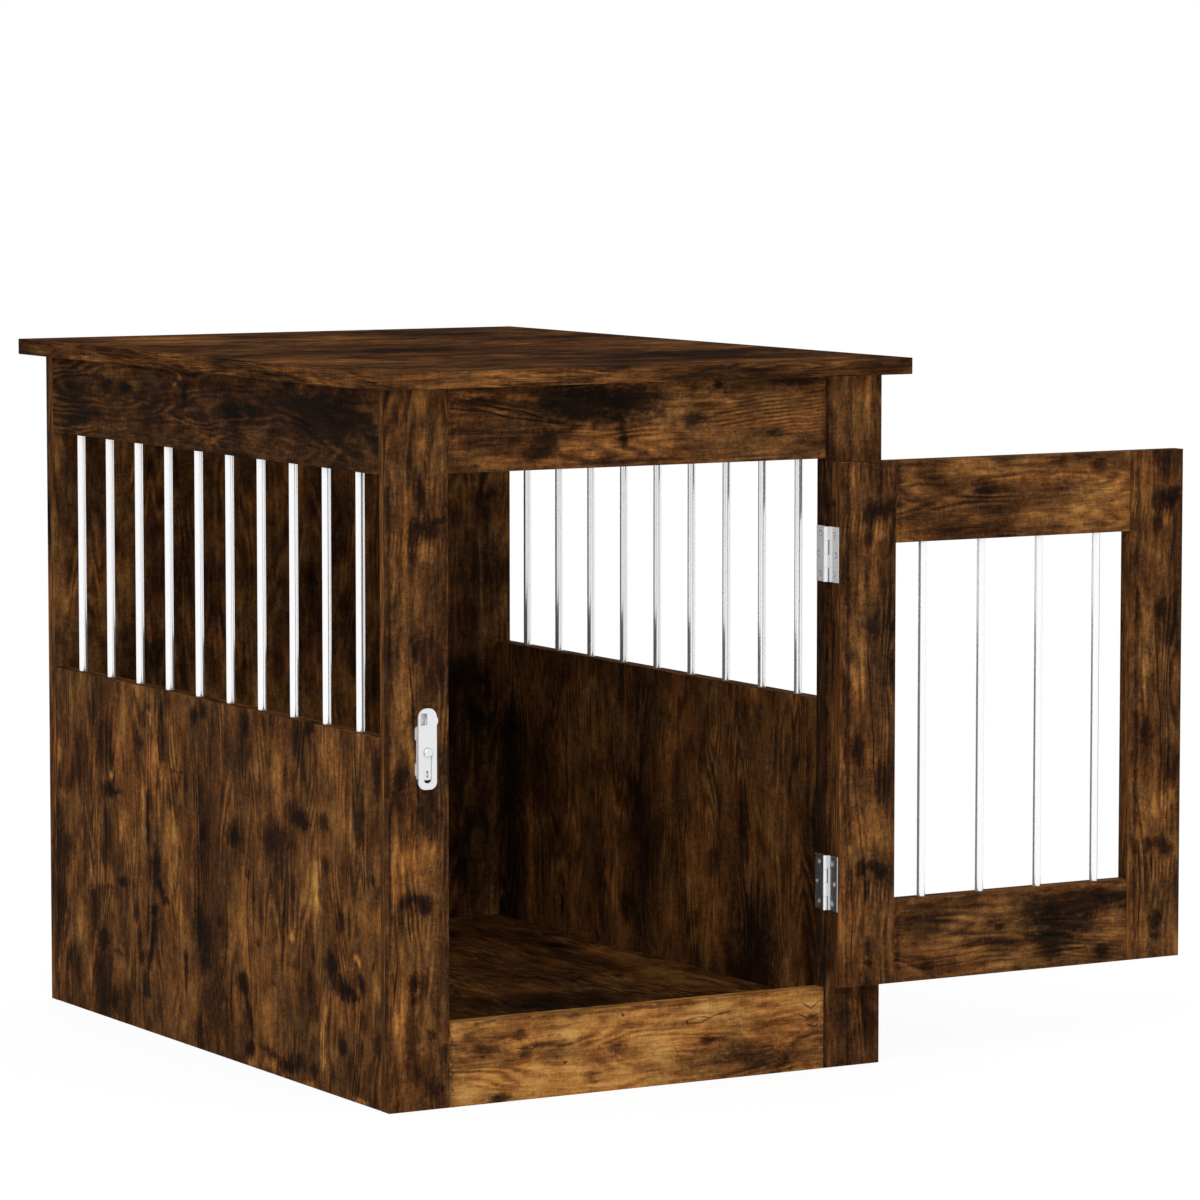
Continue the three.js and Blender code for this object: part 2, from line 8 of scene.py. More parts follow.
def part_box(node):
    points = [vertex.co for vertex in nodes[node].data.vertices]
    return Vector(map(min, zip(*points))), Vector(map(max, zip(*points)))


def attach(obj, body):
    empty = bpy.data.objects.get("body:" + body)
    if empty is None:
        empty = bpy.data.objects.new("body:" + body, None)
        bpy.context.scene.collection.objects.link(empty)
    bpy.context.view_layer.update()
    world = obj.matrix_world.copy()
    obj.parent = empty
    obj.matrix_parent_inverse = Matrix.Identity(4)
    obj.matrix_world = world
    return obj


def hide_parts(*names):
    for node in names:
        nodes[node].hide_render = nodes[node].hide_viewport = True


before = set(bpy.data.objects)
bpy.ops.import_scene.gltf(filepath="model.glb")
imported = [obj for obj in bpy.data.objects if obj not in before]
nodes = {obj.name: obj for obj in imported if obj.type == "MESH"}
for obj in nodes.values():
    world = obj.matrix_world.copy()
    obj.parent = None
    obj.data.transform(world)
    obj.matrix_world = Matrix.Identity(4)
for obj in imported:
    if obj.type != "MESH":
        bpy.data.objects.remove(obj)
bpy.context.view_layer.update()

MM = 0.001


def add_object(name, data, **placed):
    """Adds an object. placed gives its location and rotation_euler, or its matrix_world."""
    thing = bpy.data.objects.new(name, data)
    for key, value in placed.items():
        setattr(thing, key, value)
    bpy.context.scene.collection.objects.link(thing)
    return thing


# ---------------------------------------------------------------- camera

CAMERA_PLACE = (-2.4771, -4.2028, 0.8981)
CAMERA_YAW = radians(30.133)  # to the right of straight on
CAMERA_PITCH = radians(5.372)  # downwards
CAMERA_LENS = 164.78  # mm, as is the sensor
CAMERA_SENSOR = 36


def add_camera():
    data = bpy.data.cameras.new("camera")
    data.lens = CAMERA_LENS
    data.sensor_width = CAMERA_SENSOR
    aim = (pi / 2 - CAMERA_PITCH, 0, -CAMERA_YAW)
    bpy.context.scene.camera = add_object(
        "camera", data, location=CAMERA_PLACE, rotation_euler=aim
    )


# ---------------------------------------------------------------- shader nodes

MIX_SOCKETS = {"FLOAT": (2, 3, 0), "VECTOR": (4, 5, 1), "RGBA": (6, 7, 2)}  # two in, one out


def put(tree, kind, inputs=(), **settings):
    """Adds a node. inputs are pairs of a socket's name or number and a value or a socket."""
    node = tree.nodes.new(kind)
    for name, value in settings.items():
        setattr(node, name, value)
    for key, value in dict(inputs).items():
        if isinstance(value, bpy.types.NodeSocket):
            tree.links.new(value, node.inputs[key])
        else:
            node.inputs[key].default_value = value
    return node


def calc(tree, operation, *values):
    return put(tree, "ShaderNodeMath", enumerate(values), operation=operation).outputs[0]


def vector(tree, operation, *values):
    node = put(tree, "ShaderNodeVectorMath", enumerate(values), operation=operation)
    return node.outputs["Value" if operation == "LENGTH" else "Vector"]


def combine(tree, x, y, z):
    return put(tree, "ShaderNodeCombineXYZ", enumerate((x, y, z))).outputs[0]


def mix(tree, kind, factor, first, second, **settings):
    """first where factor is 0, and second where it is 1."""
    low, high, result = MIX_SOCKETS[kind]
    inputs = {"Factor": factor, low: first, high: second}
    return put(tree, "ShaderNodeMix", inputs, data_type=kind, **settings).outputs[result]


def noise(tree, place, size, detail=3, roughness=0.55, colour=False):
    """Noise whose lumps have the given size along each axis of place."""
    scaled = vector(tree, "MULTIPLY", place, [1 / s for s in size])
    node = put(
        tree,
        "ShaderNodeTexNoise",
        {"Vector": scaled, "Scale": 1, "Detail": detail, "Roughness": roughness},
    )
    return node.outputs["Color" if colour else 0]


def centred(tree, value, gain):
    """A value from 0 to 1 turned into one round 0, times gain."""
    return calc(tree, "MULTIPLY_ADD", value, gain, -gain / 2)


def warped(tree, place, size, reach, detail=3):
    """place moved about by noise with lumps of one size, by up to reach along each axis."""
    shift = noise(tree, place, size, detail, colour=True)
    shift = vector(tree, "SUBTRACT", shift, (0.5, 0.5, 0.5))
    shift = vector(tree, "MULTIPLY", shift, reach)
    return vector(tree, "ADD", place, shift)


def smooth(tree, value, low, high, to_low=0.0, to_high=1.0):
    return put(
        tree,
        "ShaderNodeMapRange",
        {"Value": value, "From Min": low, "From Max": high, "To Min": to_low, "To Max": to_high},
        interpolation_type="SMOOTHSTEP",
    ).outputs[0]


def total(tree, values):
    result = values[0]
    for value in values[1:]:
        result = calc(tree, "ADD", result, value)
    return result


def mapped(tree, picture, place, turn, scale):
    """picture seen from place, turned and shrunk."""
    settings = {"Vector": picture, "Location": place, "Rotation": turn, "Scale": scale}
    return put(tree, "ShaderNodeMapping", settings, vector_type="TEXTURE").outputs[0]


def from_srgb(red, green, blue):
    def linear(c):
        c /= 255
        return c / 12.92 if c <= 0.04045 else ((c + 0.055) / 1.055) ** 2.4

    return (linear(red), linear(green), linear(blue), 1.0)


def new_group(name, inputs, outputs):
    """A group of nodes. inputs and outputs are pairs of a socket's name and its kind."""
    group = bpy.data.node_groups.new(name, "ShaderNodeTree")
    for sockets, direction in ((inputs, "INPUT"), (outputs, "OUTPUT")):
        for socket, kind in sockets:
            group.interface.new_socket(
                socket, in_out=direction, socket_type=f"NodeSocket{kind}"
            )
    return group, group.nodes.new("NodeGroupInput").outputs, group.nodes.new("NodeGroupOutput")


def new_material(name):
    material = bpy.data.materials.new(name)
    material.use_nodes = True
    tree = material.node_tree
    return material, tree, tree.nodes["Principled BSDF"]


def dress(piece, material):
    piece.data.materials.clear()
    piece.data.materials.append(material)


# ---------------------------------------------------------------- smoked oak

OAK_RAMP = [  # the colour of each tone
    (0.00, (21, 16, 12)),
    (0.15, (31, 21, 15)),
    (0.32, (48, 30, 18)),
    (0.50, (76, 49, 27)),
    (0.66, (106, 69, 37)),
    (0.80, (138, 92, 47)),
    (0.92, (176, 124, 65)),
    (1.00, (208, 160, 96)),
]
TONE_TOP = 0.98
TONE_SHOULDER = 0.5  # how far below the top the tone starts to bend
WARM_TINT = (1.05, 0.96, 0.90, 1)
COOL_TINT = (0.97, 1.02, 1.04, 1)

# Noises of the wood: the size of their lumps in mm, across the grain, along it and into the
# board, then their detail and roughness.
CLOUDS = (55, 120, 60), 2, 0.6
SMOKE = (17, 36, 20), 6, 0.8
STREAKS = (4.5, 60, 30), 3, 0.6
FIBRES = (1.3, 22, 6), 2, 0.6
SAW_MARKS = (14, 1.5, 8), 2
PORES = (3, 4.5, 4), 3, 0.7
GROWTH_FIELD = (34, 230, 60), 2, 0.35
GROWTH_SHOWN = (26, 90, 40), 1
SPLITS = (5, 150, 20), 2
SPLITS_SHOWN = (30, 60, 40), 2
SPECKS = (2.2, 3.6, 4), 1
HUES = (40, 70, 50), 2
GRAIN_BEND = (60, 150, 60), (14, 40, 8)  # lumps, and how far they move the grain, in mm

# How far each of them moves the tone.
CLOUD_GAIN = 1.5
SMOKE_GAIN = 1.0
STREAK_GAIN = 0.6
FIBRE_GAIN = 0.42
SAW_GAIN = 0.2
PORE_GAIN = 0.26
GROWTH_GAIN = (0.02, 0.13)  # the least and the most
SPLIT_GAIN = -0.2
SPECK_GAIN = -0.2

# The values of a noise between which something appears, or a hue gives way to the other.
GROWTH_EDGE = (0.42, 0.62)
SPLIT_EDGE = (0.52, 0.62)
SPECK_EDGE = (0.66, 0.76)
HUE_EDGE = (0.35, 0.65)

GROWTH_TURNS = 85.0  # radians of growth lines over the range of their field
SPLIT_WIDTH = 0.014  # of the range of the splits' noise
SMOKE_BY_BROAD = (0.6, 0.85)  # the smoke's share that follows Broad, and the rest
MARK_LIMIT = 0.75  # how soon marks that lie on each other stop adding up
MARK_SMOKE = (1.3, 0.4)  # the share of a mark that follows the smoke, and the rest

FIBRE_RELIEF = 0.5
STREAK_RELIEF = 0.3
SPLIT_RELIEF = -0.5
OAK_ROUGHNESS = (0.2, 0.55)  # the part that follows the fibres, and the rest


def oak_group():
    """The wood itself. Place is in mm: X across the grain, Y along it, Z into the board.

    Broad is the strength of the large clouds, which boards with drawn marks need less of, and
    Grain that of the streaks along the board.
    """
    inputs = (
        ("Place", "Vector"), ("Tone", "Float"), ("Broad", "Float"), ("Grain", "Float"),
        ("Marks", "Float"),
    )
    outputs = (("Color", "Color"), ("Roughness", "Float"), ("Height", "Float"))
    group, given, end = new_group("smoked_oak", inputs, outputs)

    place = warped(group, given["Place"], *GRAIN_BEND)
    clouds = noise(group, place, *CLOUDS)
    smoke = noise(group, place, *SMOKE)
    streaks = noise(group, place, *STREAKS)
    fibres = noise(group, place, *FIBRES)
    saw = noise(group, place, *SAW_MARKS)
    pores = noise(group, place, *PORES)

    # Growth lines: level lines of a smooth field that is stretched along the grain.
    field = noise(group, place, *GROWTH_FIELD)
    lines = calc(group, "SINE", calc(group, "MULTIPLY", field, GROWTH_TURNS))
    lined = smooth(group, noise(group, place, *GROWTH_SHOWN), *GROWTH_EDGE, *GROWTH_GAIN)
    lines = calc(group, "MULTIPLY", lines, lined)

    # Splits: the middle level of another such field.
    split = calc(group, "ABSOLUTE", centred(group, noise(group, place, *SPLITS), 1.0))
    split = smooth(group, split, 0.0, SPLIT_WIDTH, 1.0, 0.0)
    where = smooth(group, noise(group, place, *SPLITS_SHOWN), *SPLIT_EDGE)
    split = calc(group, "MULTIPLY", split, where)
    specks = smooth(group, noise(group, place, *SPECKS), *SPECK_EDGE)

    busy = calc(group, "MULTIPLY_ADD", given["Broad"], *SMOKE_BY_BROAD)
    # Marks that lie on each other darken less and less, and the grain shows through them.
    strength = calc(group, "ABSOLUTE", given["Marks"])
    reach = calc(group, "MULTIPLY_ADD", strength, MARK_LIMIT, 1.0)
    marks = calc(group, "DIVIDE", given["Marks"], reach)
    ragged = calc(group, "MULTIPLY_ADD", smoke, *MARK_SMOKE)
    marks = calc(group, "MULTIPLY", marks, ragged)
    tone = total(
        group,
        [
            given["Tone"],
            marks,
            lines,
            calc(group, "MULTIPLY", centred(group, clouds, CLOUD_GAIN), given["Broad"]),
            calc(group, "MULTIPLY", centred(group, smoke, SMOKE_GAIN), busy),
            calc(group, "MULTIPLY", centred(group, streaks, STREAK_GAIN), given["Grain"]),
            calc(group, "MULTIPLY", centred(group, fibres, FIBRE_GAIN), given["Grain"]),
            centred(group, saw, SAW_GAIN),
            centred(group, pores, PORE_GAIN),
            calc(group, "MULTIPLY", split, SPLIT_GAIN),
            calc(group, "MULTIPLY", specks, SPECK_GAIN),
        ],
    )
    # Bent below the top, so that light wood keeps its grain.
    tone = calc(group, "SMOOTH_MIN", tone, TONE_TOP, TONE_SHOULDER)
    ramp = put(group, "ShaderNodeValToRGB", {0: tone})
    elements = ramp.color_ramp.elements
    while len(elements) < len(OAK_RAMP):
        elements.new(0.5)
    for element, (position, colour) in zip(elements, OAK_RAMP):
        element.position = position
        element.color = from_srgb(*colour)
    hue = smooth(group, noise(group, place, *HUES), *HUE_EDGE)
    tint = mix(group, "RGBA", hue, WARM_TINT, COOL_TINT)
    colour = mix(group, "RGBA", 1.0, ramp.outputs[0], tint, blend_type="MULTIPLY")
    height = total(
        group,
        [
            calc(group, "MULTIPLY", fibres, FIBRE_RELIEF),
            calc(group, "MULTIPLY", streaks, STREAK_RELIEF),
            calc(group, "MULTIPLY", split, SPLIT_RELIEF),
        ],
    )
    roughness = calc(group, "MULTIPLY_ADD", fibres, *OAK_ROUGHNESS)
    group.links.new(colour, end.inputs["Color"])
    group.links.new(roughness, end.inputs["Roughness"])
    group.links.new(height, end.inputs["Height"])
    return group


# ---------------------------------------------------------------- marks drawn on boards

BLOTCH_EDGE = (0.25, 1.35)  # where a patch starts to fade and where it ends, of its half size
RING_EDGE = (0.4, 1.2)
CRACK_EDGE = (0.5, 1.3)
CRACK_TONE = -0.4
CRACK_HALF = 0.8  # mm, as are all places and sizes of marks: half of a crack's width
MARKS_AT_ONCE = 12
HARDLY = (0, 0, 1e-6)  # too small a move to show


def blotch_group():
    """One soft patch added to what is drawn already."""
    inputs = (
        ("Drawn", "Float"), ("Picture", "Vector"), ("Fray", "Float"), ("Middle", "Vector"),
        ("Turn", "Vector"), ("Reach", "Vector"), ("Amount", "Float"),
    )
    group, given, end = new_group("blotch", inputs, (("Drawn", "Float"),))
    local = mapped(group, given["Picture"], given["Middle"], given["Turn"], given["Reach"])
    reach = calc(group, "ADD", vector(group, "LENGTH", local), given["Fray"])
    patch = smooth(group, reach, *BLOTCH_EDGE, given["Amount"], 0.0)
    group.links.new(calc(group, "ADD", given["Drawn"], patch), end.inputs[0])
    return group


def add_blotches(tree, drawn, picture, fray, marks):
    """Soft patches: (h, v, half width, half height, tilt in degrees, amount)."""
    for i, (h, v, half_width, half_height, tilt, amount) in enumerate(marks):
        if i % MARKS_AT_ONCE == MARKS_AT_ONCE - 1:
            # Makes the next marks wait for these: the renderer keeps few values at a time.
            picture = vector(tree, "MULTIPLY_ADD", drawn, HARDLY, picture)
        patch = {
            "Drawn": drawn,
            "Picture": picture,
            "Fray": fray,
            "Middle": (h, v, 0),
            "Turn": (0, 0, radians(tilt)),
            "Reach": (half_width, half_height, 1),
            "Amount": amount,
        }
        drawn = put(tree, "ShaderNodeGroup", patch, node_tree=BLOTCH).outputs[0]
    return drawn


def add_rings(tree, drawn, picture, rings):
    """Patches of growth rings: (h, v, half width, half height, tilt, spacing, amount)."""
    for h, v, half_width, half_height, tilt, spacing, amount in rings:
        turned = mapped(tree, picture, (h, v, 0), (0, 0, radians(tilt)), (1, 1, 1))
        across = put(tree, "ShaderNodeSeparateXYZ", {0: turned}).outputs[1]
        wave = calc(tree, "SINE", calc(tree, "MULTIPLY", across, 2 * pi / spacing))
        inside = vector(tree, "MULTIPLY", turned, (1 / half_width, 1 / half_height, 0))
        mask = smooth(tree, vector(tree, "LENGTH", inside), *RING_EDGE, amount, 0.0)
        drawn = calc(tree, "MULTIPLY_ADD", wave, mask, drawn)
    return drawn


def add_cracks(tree, drawn, picture, lines):
    """Thin dark lines through lists of points (h, v)."""
    for line in lines:
        for (h1, v1), (h2, v2) in zip(line, line[1:]):
            middle = ((h1 + h2) / 2, (v1 + v2) / 2, 0)
            turn = (0, 0, atan2(v2 - v1, h2 - h1))
            reach = (hypot(h2 - h1, v2 - v1) / 2 + CRACK_HALF, CRACK_HALF, 1)
            local = mapped(tree, picture, middle, turn, reach)
            length = vector(tree, "LENGTH", local)
            drawn = calc(tree, "ADD", drawn, smooth(tree, length, *CRACK_EDGE, CRACK_TONE, 0.0))
    return drawn


def moved(marks, h, v):
    return [(mark[0] + h, mark[1] + v, *mark[2:]) for mark in marks]


def moved_lines(lines, h, v):
    return [moved(line, h, v) for line in lines]


def flipped(marks, width):
    """The marks of a face for the face behind it, which is seen from the other side."""
    return [(width - mark[0], *mark[1:4], -mark[4], *mark[5:]) for mark in marks]


def strongest(marks, least):
    return [mark for mark in marks if abs(mark[5]) >= least]


# ---------------------------------------------------------------- boards

BLOTCH = blotch_group()
OAK = oak_group()

FACE_AXES = {"x": (1, 2, 0), "y": (0, 2, 1), "z": (0, 1, 2)}  # right, up and into the picture
END_GRAIN = 0.7  # how squarely a face has to look along the grain to be an end
DEPTH_STRETCH = 5.0  # so that the two faces of a board differ
BOARD_STEP = (131.0, 517.0, 71.0)  # mm between the places of two boards in the wood
MARK_LUMPS = (7, 14, 9)  # mm: across the grain, along it and into the board
MARK_REACH = (9, 14, 0)
LINE_LUMPS = (60, 60, 60)
LINE_REACH = (9, 9, 0)
FRAY_LUMPS = (5, 8, 8)
FRAY = 1.4  # how ragged the edges of marks are
GRAIN_BUMP = 0.35
GRAIN_RELIEF = 0.4 * MM
BOARD_SHINE = 0.005


def oak(
    node, face, grain, tone, marks=(), back_marks=(), rings=(), lines=(), shift=0, broad=1.0,
    streaky=0.75, shine=BOARD_SHINE,
):
    """Gives a board its wood.

    face is the axis that the board's faces look along, and grain is "v" or "h" in the picture
    of the face that the camera sees: h runs to the right and v up, from its lower left corner.
    marks lie on the face with the lower coordinate, and back_marks on the other.
    """
    low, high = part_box(node)
    material, tree, shader = new_material("oak_" + node)
    here = put(tree, "ShaderNodeTexCoord")
    xyz = put(tree, "ShaderNodeSeparateXYZ", {0: here.outputs["Object"]}).outputs
    facing = put(tree, "ShaderNodeSeparateXYZ", {0: here.outputs["Normal"]}).outputs

    def offset(axis, sign=1):
        start = low[axis] if sign > 0 else high[axis]
        return calc(tree, "MULTIPLY_ADD", xyz[axis], sign / MM, -sign * start / MM)

    def size(across, along, deep):
        return (across, along, deep) if grain == "v" else (along, across, deep)

    h_axis, v_axis, d_axis = FACE_AXES[face]
    h = offset(h_axis, -1 if face == "x" else 1)
    v = offset(v_axis)
    depth = offset(d_axis)
    thickness = (high[d_axis] - low[d_axis]) / MM
    length, breadth = (v, h) if grain == "v" else (h, v)
    along_axis = v_axis if grain == "v" else h_axis
    deep = calc(tree, "MULTIPLY", depth, DEPTH_STRETCH)
    body = combine(tree, breadth, length, deep)
    end = combine(tree, deep, breadth, length)
    squarely = calc(tree, "ABSOLUTE", facing[along_axis])
    is_end = calc(tree, "GREATER_THAN", squarely, END_GRAIN)
    place = mix(tree, "VECTOR", is_end, body, end)
    place = vector(tree, "ADD", place, [shift * step for step in BOARD_STEP])

    wood = put(tree, "ShaderNodeGroup", node_tree=OAK)
    if marks or back_marks or rings or lines:
        flat = combine(tree, h, v, 0.0)
        picture = warped(tree, flat, size(*MARK_LUMPS), size(*MARK_REACH), detail=4)
        still = warped(tree, flat, LINE_LUMPS, LINE_REACH, detail=1)
        fray = centred(tree, noise(tree, flat, size(*FRAY_LUMPS), roughness=0.7), FRAY)
        front = add_rings(tree, 0.0, still, rings)
        front = add_cracks(tree, front, still, lines)
        front = add_blotches(tree, front, picture, fray, marks)
        behind = add_blotches(tree, 0.0, picture, fray, back_marks)
        on_front = calc(tree, "LESS_THAN", depth, thickness / 2)
        drawn = mix(tree, "FLOAT", on_front, behind, front)
        tree.links.new(drawn, wood.inputs["Marks"])

    wood.inputs["Tone"].default_value = tone
    wood.inputs["Broad"].default_value = broad
    wood.inputs["Grain"].default_value = streaky
    tree.links.new(place, wood.inputs["Place"])
    tree.links.new(wood.outputs["Color"], shader.inputs["Base Color"])
    tree.links.new(wood.outputs["Roughness"], shader.inputs["Roughness"])
    relief = {
        "Height": wood.outputs["Height"], "Strength": GRAIN_BUMP, "Distance": GRAIN_RELIEF,
    }
    bump = put(tree, "ShaderNodeBump", relief)
    tree.links.new(bump.outputs[0], shader.inputs["Normal"])
    shader.inputs["Specular IOR Level"].default_value = shine
    dress(nodes[node], material)


# Marks listed one by one, in mm from the lower left corner of a face. add_blotches, add_rings and
# add_cracks say what the numbers of MARKS, RINGS and LINES are.

STILE_MARKS = [
    (30, 600, 34, 34, 0, -0.12), (36, 592, 7, 14, 0, 0.22), (23, 565, 5, 26, 8, -0.25),
    (34, 548, 5, 30, -6, -0.25), (41, 512, 11, 11, 0, -0.5), (25, 511, 9, 12, 0, -0.35),
    (52, 520, 9, 4, 0, -0.3), (24, 488, 6, 10, 0, -0.3), (35, 492, 6, 9, 0, 0.25),
    (8, 520, 4, 60, 0, 0.12), (16, 470, 4, 70, 0, 0.12), (30, 455, 4, 30, 0, 0.12),
    (48, 440, 14, 80, 0, -0.1), (14, 372, 11, 42, 0, 0.14), (27, 408, 7, 12, 0, -0.3),
    (42, 392, 14, 35, 0, -0.2), (12, 294, 8, 14, 0, -0.45), (14, 272, 9, 16, 0, -0.15),
    (40, 262, 12, 24, 0, -0.28), (30, 222, 24, 20, 0, 0.16), (10, 200, 8, 30, 0, 0.1),
    (17, 186, 6, 9, 0, -0.45), (27, 188, 8, 5, 0, -0.35), (36, 181, 9, 9, 0, -0.45),
    (34, 150, 14, 24, 0, 0.1), (25, 114, 7, 8, 0, -0.42), (25, 99, 6, 6, 0, -0.38),
    (21, 68, 8, 26, 0, -0.28), (26, 38, 12, 16, 0, -0.22), (43, 67, 5, 7, 0, -0.4),
    (55, 50, 5, 8, 0, -0.32), (12, 70, 5, 40, 0, 0.12), (44, 22, 10, 14, 0, -0.12),
    (1, 320, 2.5, 330, 0, -0.22), (57, 300, 4, 330, 0, -0.08),
]
STILE_LINES = [
    [(22, 395), (27, 330), (30, 262)], [(6, 190), (8, 140), (5, 90)], [(20, 180), (22, 150)],
]
STILE_RINGS = [
    (12, 500, 12, 70, 84, 4.2, 0.09), (50, 165, 12, 60, 88, 4.5, 0.08),
    (30, 545, 16, 40, 90, 5.0, 0.07), (12, 160, 10, 60, 90, 4.0, 0.08),
]
SIDE_MARKS = [
    (24, 150, 24, 26, 0, -0.4), (22, 95, 19, 42, 0, -0.38), (20, 183, 14, 20, 0, -0.28),
    (25, 205, 15, 8, 0, 0.28), (20, 248, 8, 15, 0, 0.12), (45, 218, 10, 9, 0, -0.15),
    (80, 180, 3, 70, 0, -0.12), (124, 265, 24, 26, 0, -0.36), (114, 308, 22, 26, 0, -0.2),
    (126, 180, 15, 36, 0, -0.2), (135, 222, 20, 8, 0, -0.42), (156, 223, 10, 3, 0, -0.25),
    (142, 237, 5, 4, 0, 0.4), (165, 137, 10, 6, 0, -0.42), (138, 128, 14, 3, 5, -0.2),
    (102, 106, 14, 24, 0, -0.36), (118, 122, 12, 8, 0, -0.15), (123, 76, 15, 13, 0, -0.42),
    (124, 30, 22, 40, 0, -0.42), (150, 20, 12, 15, 0, -0.25), (155, 67, 12, 3, 0, -0.2),
    (68, 85, 10, 22, 0, 0.18), (88, 30, 9, 30, 0, 0.1), (55, 50, 18, 18, 0, -0.2),
    (18, 33, 4, 12, 0, 0.15), (30, 50, 3, 12, 0, 0.12), (165, 302, 20, 30, 0, 0.22),
    (160, 255, 12, 28, 0, 0.24), (183, 265, 12, 25, 0, 0.08), (203, 276, 12, 10, 0, -0.34),
    (213, 298, 12, 12, 20, -0.22), (225, 311, 12, 5, 0, -0.22), (234, 300, 12, 18, 0, 0.25),
    (232, 262, 12, 28, 0, 0.25), (213, 195, 8, 45, 0, 0.24), (259, 275, 11, 22, 0, -0.52),
    (253, 308, 5, 16, -12, -0.3), (285, 256, 18, 2, 0, -0.2), (225, 222, 5, 14, 0, -0.48),
    (224, 190, 4, 22, 0, -0.36), (227, 158, 4, 15, 0, -0.3), (241, 164, 9, 22, 0, -0.48),
    (250, 140, 6, 12, 40, -0.4), (262, 131, 9, 4, 0, -0.38), (243, 195, 6, 12, 0, -0.2),
    (272, 188, 14, 40, 0, 0.18), (292, 140, 12, 45, 0, 0.1), (172, 195, 18, 30, 0, 0.14),
    (185, 165, 20, 20, 0, 0.1), (238, 120, 10, 6, 20, -0.42), (232, 96, 6, 24, -8, -0.42),
    (225, 70, 8, 12, -20, -0.38), (217, 46, 9, 16, 0, -0.46), (197, 112, 8, 11, 0, -0.38),
    (203, 86, 5, 20, 0, -0.32), (208, 68, 8, 9, 0, -0.32), (193, 40, 2.5, 40, 0, -0.2),
    (201, 30, 2.5, 40, 0, -0.2), (165, 50, 14, 12, 0, 0.16), (304, 76, 5, 16, 0, -0.52),
    (304, 56, 3, 8, 0, -0.3), (280, 60, 28, 50, 0, 0.08), (222, 5, 8, 10, 0, -0.25),
    (324, 312, 9, 9, 0, -0.45), (343, 319, 8, 10, 0, -0.42), (342, 203, 8, 12, 0, -0.42),
    (344, 180, 12, 22, 0, -0.12), (360, 165, 34, 190, 0, -0.2), (340, 110, 18, 25, 0, -0.22),
    (345, 85, 12, 12, 0, -0.2), (335, 15, 14, 18, 0, -0.25), (431, 317, 8, 16, 0, -0.36),
    (422, 300, 28, 34, 0, -0.15), (405, 209, 13, 11, 0, -0.5), (405, 205, 24, 22, 0, -0.12),
    (405, 250, 4, 14, 0, 0.12), (409, 232, 8, 6, 0, 0.1), (375, 125, 6, 6, 0, -0.32),
    (390, 130, 3, 70, 0, -0.16), (422, 130, 8, 55, 0, 0.16), (435, 177, 5, 5, 0, -0.28),
    (446, 150, 2, 60, 0, -0.15), (454, 116, 5, 5, 0, -0.34), (425, 76, 15, 10, 0, -0.38),
    (438, 46, 6, 22, 20, -0.36), (437, 17, 12, 7, 15, -0.52), (441, 3, 9, 6, 0, 0.35),
    (480, 19, 26, 4, -8, -0.28), (512, 12, 20, 6, 0, -0.38), (530, 18, 20, 10, 0, -0.3),
    (476, 8, 14, 5, 0, 0.25), (560, 2, 16, 3, 0, 0.3), (655, 2, 16, 3, 0, 0.42),
    (488, 216, 28, 20, 0, -0.32), (497, 195, 12, 18, 0, -0.2), (543, 241, 16, 9, -10, -0.5),
    (525, 246, 18, 12, 0, -0.25), (585, 243, 13, 9, 0, -0.34), (560, 325, 12, 6, 0, -0.42),
    (535, 308, 24, 18, 0, -0.15), (495, 270, 10, 25, 0, 0.14), (513, 275, 4, 20, 0, -0.16),
    (572, 192, 6, 22, 0, 0.34), (574, 167, 6, 8, 0, 0.28), (560, 170, 34, 45, 0, 0.14),
    (525, 177, 9, 13, 0, -0.22), (592, 205, 8, 10, 0, -0.26), (619, 158, 10, 11, 0, -0.46),
    (635, 158, 3, 16, 0, -0.3), (600, 116, 12, 14, 40, -0.42), (621, 98, 20, 10, -12, -0.52),
    (645, 94, 10, 8, 0, -0.36), (657, 109, 6, 9, 0, -0.46), (650, 128, 7, 5, 0, 0.55),
    (636, 118, 16, 7, 0, 0.1), (681, 125, 4, 5, 0, -0.42), (505, 120, 3, 28, -5, -0.42),
    (508, 160, 3, 20, 0, -0.25), (488, 83, 4, 4, 0, -0.3), (523, 130, 8, 5, 0, 0.24),
    (565, 122, 5, 10, 0, -0.22), (560, 88, 12, 20, 0, -0.22), (585, 55, 8, 34, 0, 0.3),
    (583, 26, 5, 8, 0, 0.25), (617, 68, 4, 14, 0, 0.26), (622, 45, 8, 9, 0, -0.42),
    (565, 16, 7, 8, 0, -0.52), (640, 22, 14, 20, 0, -0.18), (690, 58, 6, 16, 0, -0.3),
    (655, 258, 12, 34, 0, -0.32), (640, 202, 4, 22, 10, -0.22), (688, 298, 10, 26, 0, -0.42),
    (680, 203, 4, 5, 0, -0.3), (668, 190, 22, 55, 0, 0.14), (603, 300, 28, 30, 0, 0.1),
    # The last mark here, at h 16, is a dark joint line with the back panel, widened with painted
    # shade.
    (470, 50, 14, 35, 0, 0.12), (16, 165, 2.5, 200, 0, -0.3),
]
SIDE_LINES = [
    [(217, 330), (221, 305), (230, 288)], [(245, 330), (238, 305), (246, 280)],
    [(446, 200), (447, 120)], [(571, 330), (573, 270)], [(306, 74), (303, 50)],
]
